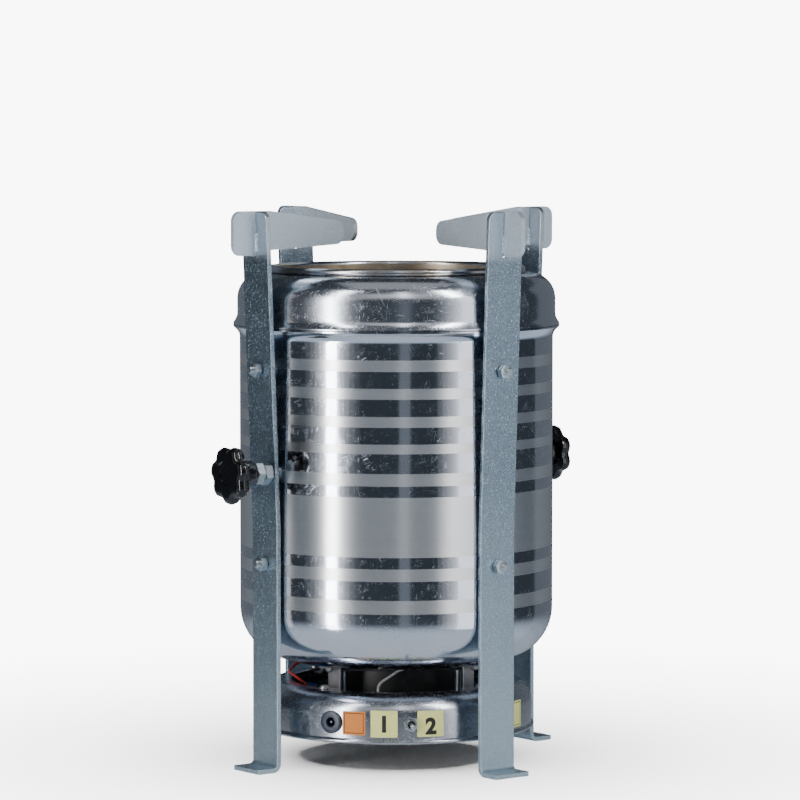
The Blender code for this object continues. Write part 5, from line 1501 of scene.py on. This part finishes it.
class STOVE_OT_fan(Operator):
    """Fan frame, rotor, stator and screws"""

    bl_idname = "stove.fan"
    bl_label = "Fan"

    def execute(self, context):
        sizes = context.scene.stove_sizes
        turn = math.degrees(sizes.fan_turn)
        half = (FAN_HIGH.z - FAN_LOW.z) / 2
        place = upright_frame(turn, height=(FAN_LOW.z + FAN_HIGH.z) / 2)
        self.frame_piece(sizes, place, half)
        self.rotor(sizes, place, half)
        self.screws(turn)
        paint_node("fan_stator", "copper")
        return {"FINISHED"}

    def frame_piece(self, sizes, place, half):
        """Two square flanges on a duct, with the motor's seat on four arms at the top."""
        side = sizes.fan_size
        fillet = 0.0045
        screw_hole = 0.0022
        flange_height = 0.004
        square = rounded([(x, y, fillet) for x, y in oblong(side, side)])
        signs = [(x, y) for x in (-1, 1) for y in (-1, 1)]
        holes = [circle(screw_hole, 20, x * FAN_PITCH, y * FAN_PITCH) for x, y in signs]
        bore = circle(sizes.fan_bore, 96)
        parts = []
        for height in (-half + flange_height / 2, half - flange_height / 2):
            flange = bevelled(slab("flange", [square, bore, *holes], flange_height), 0.0004)
            flange.transform(Matrix.Translation((0.0, 0.0, height)))
            parts.append(flange)
        outer = sizes.fan_bore + 0.0016
        inner = sizes.fan_bore + 0.0001
        end = half - 0.001
        parts.append(lathe("duct", [(outer, end), (outer, -end), (inner, -end), (inner, end)], 96))
        strut = bevelled(block("strut", (0.0264, 0.004, 0.0025), (0.0258, 0.0, half - 0.00165)), 0.0005)
        for k in range(4):
            arm = strut.copy()
            arm.transform(Matrix.Rotation(math.pi / 2 * k, 4, "Z"))
            parts.append(arm)
        shaft = 0.0018
        foot = half - 0.0032
        sleeve_end = half - 0.0158
        seat = [(shaft, half - 0.0006), (0.0164, half - 0.0003), (0.017, half - 0.0009), (0.017, foot)]
        seat += [(0.004, foot), (0.004, sleeve_end), (shaft, sleeve_end)]
        parts.append(lathe("seat", seat, 64))
        body = joined("fan_body", parts)
        body.transform(place)
        piece("fan_body", body, ["fan_frame"], finish="fan")

    def rotor(self, sizes, place, half):
        """Seven blades on a hub that is hollow for the motor, with a shaft in its middle."""
        shaft = 0.0015
        wall = 0.0166
        radius = 0.018
        corner = 0.0015
        floor = -half + 0.0023
        inside = floor + 0.0014
        shaft_end = half - 0.0029
        top = shaft_end - 0.0016
        profile = [(0.0, shaft_end), (shaft, shaft_end), (shaft, inside)]
        profile += [(wall, inside), (wall, top), (radius, top)]
        profile += [*arc(radius - corner, floor + corner, corner, 0, -90, 6), (0.0, floor)]
        blades = around(self.blade(sizes), 7, 0.0, FINISHES["fan"])
        whole = joined("rotor", [lathe("hub", profile, 96), blades])
        whole.transform(place)
        whole = smoothed(painted(whole, FINISHES["fan"]), 40.0)
        piece("rotor", whole, ["fan_rotor"], "fan_rotor")

    def blade(self, sizes):
        """A twisted, cambered sheet from the hub's wall to just short of the duct, made solid."""
        root = 0.0173
        tip = sizes.fan_bore - 0.0015
        spans = 12
        chords = 12
        rise = 0.014
        camber = 0.0018
        cage = bmesh.new()
        rows = []
        for i in range(spans + 1):
            share = i / spans
            radius = root + (tip - root) * share
            sweep = math.radians(40.0 - 6.0 * share)
            row = []
            for j in range(chords + 1):
                along = j / chords
                turn = sweep * (along - 0.5)
                height = rise * (along - 0.5) + camber * math.sin(math.pi * along)
                row.append(cage.verts.new((radius * math.cos(turn), radius * math.sin(turn), height)))
            rows.append(row)
        for low, high in zip(rows, rows[1:]):
            for j in range(chords):
                cage.faces.new((low[j], high[j], high[j + 1], low[j + 1]))
        return bevelled(thickened(finished_mesh("blade", cage), 0.0013), 0.0003, 50.0)

    def screws(self, turn):
        """A screw and its nut at azimuth 0, then copied to the fan's corners."""
        reach = FAN_PITCH * math.sqrt(2)
        shank = 0.002
        head = 0.00375
        bottom = FAN_LOW.z - GAP
        nut_z = BODY_LOW.z + 0.0013
        end = nut_z + 0.0042
        profile = [(0.0, end), (0.0016, end), *thread(shank, bottom + 0.004, end - 0.0003, 0.0007)]
        profile += [(shank, bottom), (head, bottom), (head, bottom - 0.0009)]
        profile += [(0.0028, bottom - 0.002), (0.0015, bottom - 0.0025), (0.0, bottom - 0.0025)]
        screw = lathe("screw", profile, 24, upright_frame(0.0, reach))
        nut = hex_nut("nut", 0.007, 0.0032, place=upright_frame(0.0, reach, nut_z + 0.0016))
        screws = around(joined("screw_set", [screw, nut]), 4, turn + 45.0, FINISHES["zinc"])
        nodes = ["fan_screw_" + corner for corner in FAN_CORNERS]
        piece("fan_screws", screws, nodes)


class STOVE_OT_power(Operator):
    """Cells in their cradles, and the charge board"""

    bl_idname = "stove.power"
    bl_label = "Cells and board"

    def execute(self, context):
        sizes = context.scene.stove_sizes
        turn = math.degrees(sizes.fan_turn)
        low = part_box("cell_cradle_right")[0]
        cell_radius = 0.0092
        radius = sizes.fan_size / 2 + 0.0028 + cell_radius
        height = low.z + 0.0015 + GAP + cell_radius
        profile = self.cell_profile(0.0325, cell_radius)
        for side, azimuth in (("right", turn + 90.0), ("left", turn - 90.0)):
            lying = turn_frame(azimuth, radius, height) @ Matrix.Rotation(math.pi / 2, 4, "Y")
            cell = lathe("cell", profile, 64, lying)
            piece("cell_body_" + side, cell, ["cell_" + side], finish="cell")
            paint_node("cell_cradle_" + side, "fan")
        paint_node("charge_board", "board")
        return {"FINISHED"}

    def cell_profile(self, half, radius):
        """Raised button, shoulder, a faint groove below it, wall and flat foot."""
        button = 0.003
        edge = 0.0086
        shoulder = half - 0.001
        profile = [(0.0, half), (0.0028, half), (button, half - 0.0002), (button, shoulder)]
        profile += [(edge, shoulder), (radius, half - 0.0016), (radius, half - 0.003)]
        profile += [(radius - 0.0001, half - 0.0035), (radius, half - 0.004), (radius, -half + 0.0006)]
        return [*profile, (edge, -half), (0.0, -half)]


def smooth_route(points):
    """Points along a smooth curve through these points."""
    before = [points[0], *points[:-1]]
    after = [*points[1:], points[-1]]
    bends = [(b - a) / 6 for a, b in zip(before, after)]
    route = []
    for k in range(len(points) - 1):
        start, end = points[k], points[k + 1]
        route += interpolate_bezier(start, start + bends[k], end - bends[k + 1], end, 7)[:-1]
    return [*route, points[-1]]


WHITE_BENDS_MM = (
    (8.0, -58.5, 34.5),
    (0.0, -55.5, 39.5),
    (-4.3, -52.0, 46.0),
    (-3.6, -49.0, 51.5),
    (2.5, -46.0, 56.0),
    (7.0, -44.0, 59.0),
)
RED_BENDS_MM = (
    (-45.5, -47.5, 40.0),
    (-49.5, -40.5, 47.5),
    (-56.0, -31.5, 50.6),
    (-63.0, -18.0, 52.0),
    (-66.9, -6.0, 52.8),
    (-64.0, 5.0, 56.0),
    (-54.0, 4.0, 59.8),
)


class STOVE_OT_leads(Operator):
    """White lead from the switch to the fan and red lead from a cell to the fan"""

    bl_idname = "stove.leads"
    bl_label = "Leads"

    def execute(self, context):
        sizes = context.scene.stove_sizes
        fan_turn = math.degrees(sizes.fan_turn)
        plate_z = FAN_HIGH.z - 0.002
        reach = sizes.fan_size / 2 + GAP
        spread = 0.0027
        inner = self.inner_end(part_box("switch_case")[1], sizes.switch_turn)
        inward = Matrix.Rotation(math.pi, 4, "Y")
        terminal = turn_frame(math.degrees(sizes.switch_turn), inner, sizes.panel_height) @ inward
        front = turn_frame(fan_turn, reach, plate_z, spread)
        self.lead("white", terminal, WHITE_BENDS_MM, front)
        cradle_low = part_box("cell_cradle_left")[0]
        cell = turn_frame(fan_turn - 90.0, sizes.fan_size / 2 + 0.012, cradle_low.z + 0.011)
        button = cell @ Matrix.Rotation(math.pi / 2, 4, "Y") @ Matrix.Translation((0.0, 0.0008, 0.0328))
        left = turn_frame(fan_turn - 90.0, reach, plate_z, -spread)
        self.lead("red", button, RED_BENDS_MM, left)
        return {"FINISHED"}

    def inner_end(self, corner, turn):
        """Radius of the ends of the switch's terminals, from the upper corner of its box."""
        half_width = 0.0065
        return (half_width * math.sin(turn) - corner.y) / math.cos(turn) - GAP

    def lead(self, name, start, bends, end):
        """A round wire that leaves both frames along their Z and passes the bends between them."""
        straight = Vector((0.0, 0.0, 0.0032))
        middle = [Vector(bend) * MM for bend in bends]
        points = [start.translation, start @ straight, *middle, end @ straight, end.translation]
        route = smooth_route(points)
        wire = bpy.data.curves.new("lead", "CURVE")
        wire.dimensions = "3D"
        wire.bevel_depth = 0.0008
        wire.bevel_resolution = 4
        wire.use_fill_caps = True
        spline = wire.splines.new("POLY")
        spline.points.add(len(route) - 1)
        for point, spot in zip(spline.points, route):
            point.co = (*spot, 1.0)
        mesh = baked(bpy.data.objects.new("lead", wire))
        bpy.data.curves.remove(wire)
        wire = smoothed(mesh, 50.0)
        piece("wire_" + name, wire, ["lead_" + name], finish=name + "_wire")


class STOVE_OT_panel(Operator):
    """Power socket, toggle switch and the labels beside them"""

    bl_idname = "stove.panel"
    bl_label = "Socket, switch and labels"

    def execute(self, context):
        sizes = context.scene.stove_sizes
        self.socket(sizes)
        self.switch(sizes)
        self.labels(sizes)
        return {"FINISHED"}

    def socket(self, sizes):
        """Flanged socket with a threaded body behind the wall, and its pin."""
        place = turn_frame(math.degrees(sizes.jack_turn), 0.0, sizes.panel_height)
        bore = 0.0028
        flange = 0.007
        back = sizes.housing_radius + GAP
        face = back + 0.0016
        rear = sizes.housing_radius - 0.013
        floor = face - 0.009
        profile = [(0.0, floor), (bore, floor), (bore, face - 0.0005), (0.0032, face - 0.0001)]
        profile += [(0.0058, face), (0.0066, face - 0.0002), (flange, face - 0.0007), (flange, back)]
        profile += [*thread(0.0055, rear + 0.001, back - 0.0002, 0.001), (0.0052, rear), (0.0, rear)]
        jack = lathe("jack", profile, 72, place)
        piece("power_socket", jack, ["dc_jack"], finish="socket")
        radius = 0.001
        start = floor + GAP
        tip = arc(0.0, face - 0.001 - radius, radius, 90, 0, 5)
        pin = lathe("pin", [*tip, (radius, start), (0.0, start)], 24, place)
        piece("socket_pin", pin, ["dc_jack_pin"], finish="zinc")
        paint_node("dc_jack_nut", "zinc")

    def switch(self, sizes):
        """Nut, threaded collar and the lever with its ball, which turns in the collar."""
        place = turn_frame(math.degrees(sizes.switch_turn), 0.0, sizes.panel_height)
        wall = sizes.housing_radius
        nut_height = 0.002
        seat = raised(place, wall + GAP + nut_height / 2, 0.25)
        nut = hex_nut("nut", 0.008, nut_height, 0.0032, seat)
        piece("panel_nut", nut, ["switch_nut"], finish="zinc")
        bore = 0.0021
        end = wall + 0.004
        pivot = end - 0.0035
        foot = wall - 0.0020
        profile = [(0.00245, end), (0.0027, end), *thread(0.003, foot, end - 0.0002, 0.0006)]
        profile += [(bore, foot), (bore, pivot)]
        collar = lathe("bushing", profile, 48, place)
        piece("switch_collar", collar, ["switch_bushing"], finish="satin")
        ball = 0.0018
        neck = 0.001
        head = 0.0015
        tip = 0.0035 + 0.0104
        profile = [*arc(0.0, tip - head, head, 90, 0, 6), (neck, math.sqrt(ball**2 - neck**2))]
        profile += arc(0.0, 0.0, ball, 40, -90, 10)
        lever = lathe("lever", profile, 40, raised(place, pivot))
        piece("toggle_lever", lever, ["switch_lever"], "switch_lever", "zinc")
        paint_node("switch_case", "socket")

    def labels(self, sizes):
        """Four labels on the housing's wall: two with a plain number, two blank with a frame."""
        spots = (
            ("sticker_blank", -10.2, 0.0145, 0.0145, "sticker", None),
            ("label_one", 2.5, 0.0165, 0.0165, "label", "1"),
            ("label_two", 21.8, 0.0165, 0.0160, "label", "2"),
            ("label_side", 67.0, 0.0165, 0.0165, "label", None),
        )
        for name, azimuth, width, height, finish, digit in spots:
            patch = painted(self.patch(width, height), FINISHES[finish])
            mark = self.digit(digit) if digit else self.border(width, height)
            parts = [
                self.wrap(patch, sizes, azimuth, 0.0001),
                self.wrap(painted(mark, FINISHES["ink"]), sizes, azimuth, 0.00018),
            ]
            piece(name, joined(name, parts))

    def wrap(self, mesh, sizes, azimuth, lift):
        """Lays a flat mesh in XY on the housing's wall, its Z as extra height."""
        radius = sizes.housing_radius + lift
        for vertex in mesh.vertices:
            x, y, z = vertex.co
            turn = math.radians(azimuth) + x / radius
            out = radius + z
            vertex.co = (out * math.sin(turn), -out * math.cos(turn), sizes.panel_height + y)
        return mesh

    def patch(self, width, height):
        """A thin rectangle with rounded corners."""
        fillet = 0.0006
        outline = rounded([(x, y, fillet) for x, y in oblong(width, height)], 4)
        return self.sliced(slab("patch", [outline], 0.00012), width)

    def border(self, width, height):
        """A thin printed frame just inside the edge of a blank label."""
        lines = [oblong(width - 2 * inset, height - 2 * inset) for inset in (0.0010, 0.0014)]
        return self.sliced(slab("border", lines, 0.00004), width)

    def digit(self, digit):
        """A plain number, centred."""
        text = bpy.data.curves.new("digit", "FONT")
        text.body = digit
        text.size = 0.0135
        text.align_x = "CENTER"
        text.align_y = "CENTER"
        text.extrude = 0.00002
        text.offset = 0.0006
        mesh = baked(bpy.data.objects.new("digit", text))
        centre = sum((v.co for v in mesh.vertices), Vector()) / len(mesh.vertices)
        mesh.transform(Matrix.Translation((-centre.x, -centre.y, 0.0)))
        return self.sliced(mesh, 0.012)

    def sliced(self, mesh, width):
        """Cuts a flat mesh into upright strips, so that it can bend."""
        count = 18
        cage = bmesh.new()
        cage.from_mesh(mesh)
        for k in range(1, count):
            x = -width / 2 + width * k / count
            every = [*cage.verts, *cage.edges, *cage.faces]
            bmesh.ops.bisect_plane(cage, geom=every, plane_co=(x, 0, 0), plane_no=(1, 0, 0))
        return finished_mesh(mesh.name, cage)


class STOVE_OT_stage(Operator):
    """Pale floor, studio lights and the camera"""

    bl_idname = "stove.stage"
    bl_label = "Stage"

    def execute(self, context):
        light = context.scene.stove_light
        self.floor()
        self.world(light)
        white = (1.0, 1.0, 1.0)
        cool = (0.84, 0.92, 1.0)
        self.soft_strip("key_strip", -39.3, 4.0, 21.0, light.key, white, 0.13, 0.5)
        self.soft_strip("fill_panel", 59.0, 7.0, 22.0, light.fill, white, 0.4, 0.82)
        self.upright_panel("side_strip", -77.0, 2.7, 1.8, light.side, (1.0, 0.97, 0.93))
        self.upright_panel("window", 13.5, 4.0, 3.0, light.window, cool)
        self.upright_panel("right_panel", 88.0, 12.0, 1.8, light.right, cool)
        for name, azimuth in (("slate_right", 150.0), ("slate_left", -140.0)):
            self.upright_panel(name, azimuth, 22.0, 1.8, light.slate, cool)
        for name, azimuth, spread, share in (
            ("key_high", -39.3, 4.5, 1.0),
            ("window_high", 13.5, 3.5, 0.25),
            ("fill_high", 53.0, 4.5, 2.0),
        ):
            self.upright_panel(name, azimuth, spread, 1.7, light.high * share, white, 1.75, 1.1)
        for k in range(4):
            name = f"front_high_{k + 1}"
            size = (14.0 + 8.0 * k, 2.3 + 0.02 * k)
            self.upright_panel(name, CAMERA_AZIMUTH, *size, light.front * 0.22, white, 1.95, 0.5 + 0.3 * k)
        above = (0.0, -0.1, 1.9)
        self.panel("top_panel", above, (0.0, 0.0, 0.0), (1.2, 1.2), light.top, white)
        self.camera(context)
        return {"FINISHED"}

    def floor(self):
        """A round table top whose finish fades out towards its edge."""
        radius = 0.7
        cage = bmesh.new()
        bmesh.ops.create_circle(cage, cap_ends=True, segments=96, radius=radius)
        mesh = painted(finished_mesh("table_top", cage), FINISHES["floor"])
        disc = bpy.data.objects.new("table_top", mesh)
        bpy.context.scene.collection.objects.link(disc)

    def world(self, light):
        """A dim room above a pale ground, seen by the camera itself as a pale backdrop."""
        world = bpy.data.worlds.new("studio_room")
        bpy.context.scene.world = world
        world.use_nodes = True
        tree = world.node_tree
        dim = tree.nodes["Background"]
        way = tree.nodes.new("ShaderNodeTexCoord")
        split = tree.nodes.new("ShaderNodeSeparateXYZ")
        level = tree.nodes.new("ShaderNodeMapRange")
        level.interpolation_type = "SMOOTHSTEP"
        for socket, value in (
            ("From Min", -0.5),
            ("From Max", -0.12),
            ("To Min", light.ground),
            ("To Max", light.room),
        ):
            level.inputs[socket].default_value = value
        tree.links.new(way.outputs["Generated"], split.inputs[0])
        tree.links.new(split.outputs["Z"], level.inputs["Value"])
        tree.links.new(level.outputs[0], dim.inputs["Strength"])
        dim.inputs["Color"].default_value = (0.70, 0.84, 1.0, 1.0)
        pale = tree.nodes.new("ShaderNodeBackground")
        pale.inputs["Color"].default_value = (1.0, 1.0, 1.0, 1.0)
        pale.inputs["Strength"].default_value = light.backdrop
        seen = tree.nodes.new("ShaderNodeLightPath")
        choice = tree.nodes.new("ShaderNodeMixShader")
        tree.links.new(seen.outputs["Is Camera Ray"], choice.inputs[0])
        tree.links.new(dim.outputs[0], choice.inputs[1])
        tree.links.new(pale.outputs[0], choice.inputs[2])
        tree.links.new(choice.outputs[0], tree.nodes["World Output"].inputs["Surface"])

    def soft_strip(self, name, azimuth, core, reach, glow, tone, edge, fall):
        """Nested panels, weaker as they widen, so that the strip has soft edges."""
        steps = 5
        for k in range(steps + 1):
            spread = core + (reach - core) * (k / steps) ** 1.2
            share = edge * fall**k if k else 1.0
            self.upright_panel(f"{name}_{k + 1}", azimuth, spread, 1.7 + 0.02 * k, glow * share, tone)

    def upright_panel(self, name, azimuth, spread, distance, glow, tone, middle=0.3, height=1.7):
        """A tall panel that covers this many degrees to each side of its azimuth."""
        stand = turn_frame(azimuth, distance, middle)
        aim = turn_frame(azimuth, 0.0, min(middle, 0.5))
        width = 2 * distance * math.tan(math.radians(spread))
        self.panel(name, stand.translation, aim.translation, (width, height), glow, tone)

    def panel(self, name, place, aim, size, glow, tone):
        """An area light whose power gives its face this brightness."""
        lamp = bpy.data.lights.new(name, "AREA")
        lamp.shape = "RECTANGLE"
        lamp.size, lamp.size_y = size
        lamp.energy = glow * math.pi * size[0] * size[1]
        lamp.color = tone
        made = bpy.data.objects.new(name, lamp)
        bpy.context.scene.collection.objects.link(made)
        made.visible_camera = False
        made.location = place
        made.rotation_euler = (Vector(aim) - Vector(place)).to_track_quat("-Z", "Y").to_euler()

    def camera(self, context):
        """The photograph's view: a long lens a little above the stove's top, turned to the right."""
        distance = 2.5
        height = 0.3989
        pixels = 800.0
        focal = 4000.0
        horizon = 120.0
        axis_column = 396.3
        lens = bpy.data.cameras.new("photo_view")
        lens.sensor_width = 36.0
        lens.lens = focal / pixels * lens.sensor_width
        lens.clip_end = 50.0
        made = bpy.data.objects.new("photo_view", lens)
        context.scene.collection.objects.link(made)
        aside = (pixels / 2 - axis_column) / focal * distance
        stand = turn_frame(CAMERA_AZIMUTH, distance, height, aside)
        pitch = math.atan((pixels / 2 - horizon) / focal)
        made.matrix_world = stand @ Matrix.Rotation(-pitch, 4, "X")
        context.scene.camera = made


class STOVE_PT_panel(Panel):
    """Buttons for every group of pieces, with the sizes and colours"""

    bl_label = "Biomass stove"
    bl_idname = "STOVE_PT_panel"
    bl_space_type = "VIEW_3D"
    bl_region_type = "UI"
    bl_category = "Stove"

    def draw(self, context):
        for step in STEPS:
            self.layout.operator(step.bl_idname)
        for group in (context.scene.stove_sizes, context.scene.stove_colours, context.scene.stove_light):
            box = self.layout.box()
            for field in group.__annotations__:
                box.prop(group, field)


STEPS = (
    STOVE_OT_body,
    STOVE_OT_fire,
    STOVE_OT_legs,
    STOVE_OT_supports,
    STOVE_OT_bolts,
    STOVE_OT_knobs,
    STOVE_OT_housing,
    STOVE_OT_fan,
    STOVE_OT_power,
    STOVE_OT_leads,
    STOVE_OT_panel,
    STOVE_OT_stage,
)
CLASSES = (StoveSizes, StoveColours, StoveLight, *STEPS, STOVE_PT_panel)


def register():
    for kind in CLASSES:
        bpy.utils.register_class(kind)
    bpy.types.Scene.stove_sizes = PointerProperty(type=StoveSizes)
    bpy.types.Scene.stove_colours = PointerProperty(type=StoveColours)
    bpy.types.Scene.stove_light = PointerProperty(type=StoveLight)


def unregister():
    del bpy.types.Scene.stove_light
    del bpy.types.Scene.stove_colours
    del bpy.types.Scene.stove_sizes
    for kind in reversed(CLASSES):
        bpy.utils.unregister_class(kind)


def main():
    register()
    make_finishes(bpy.context.scene.stove_colours)
    make_trees()
    for step in STEPS:
        group, action = step.bl_idname.split(".")
        getattr(getattr(bpy.ops, group), action)()


if __name__ == "__main__":
    main()
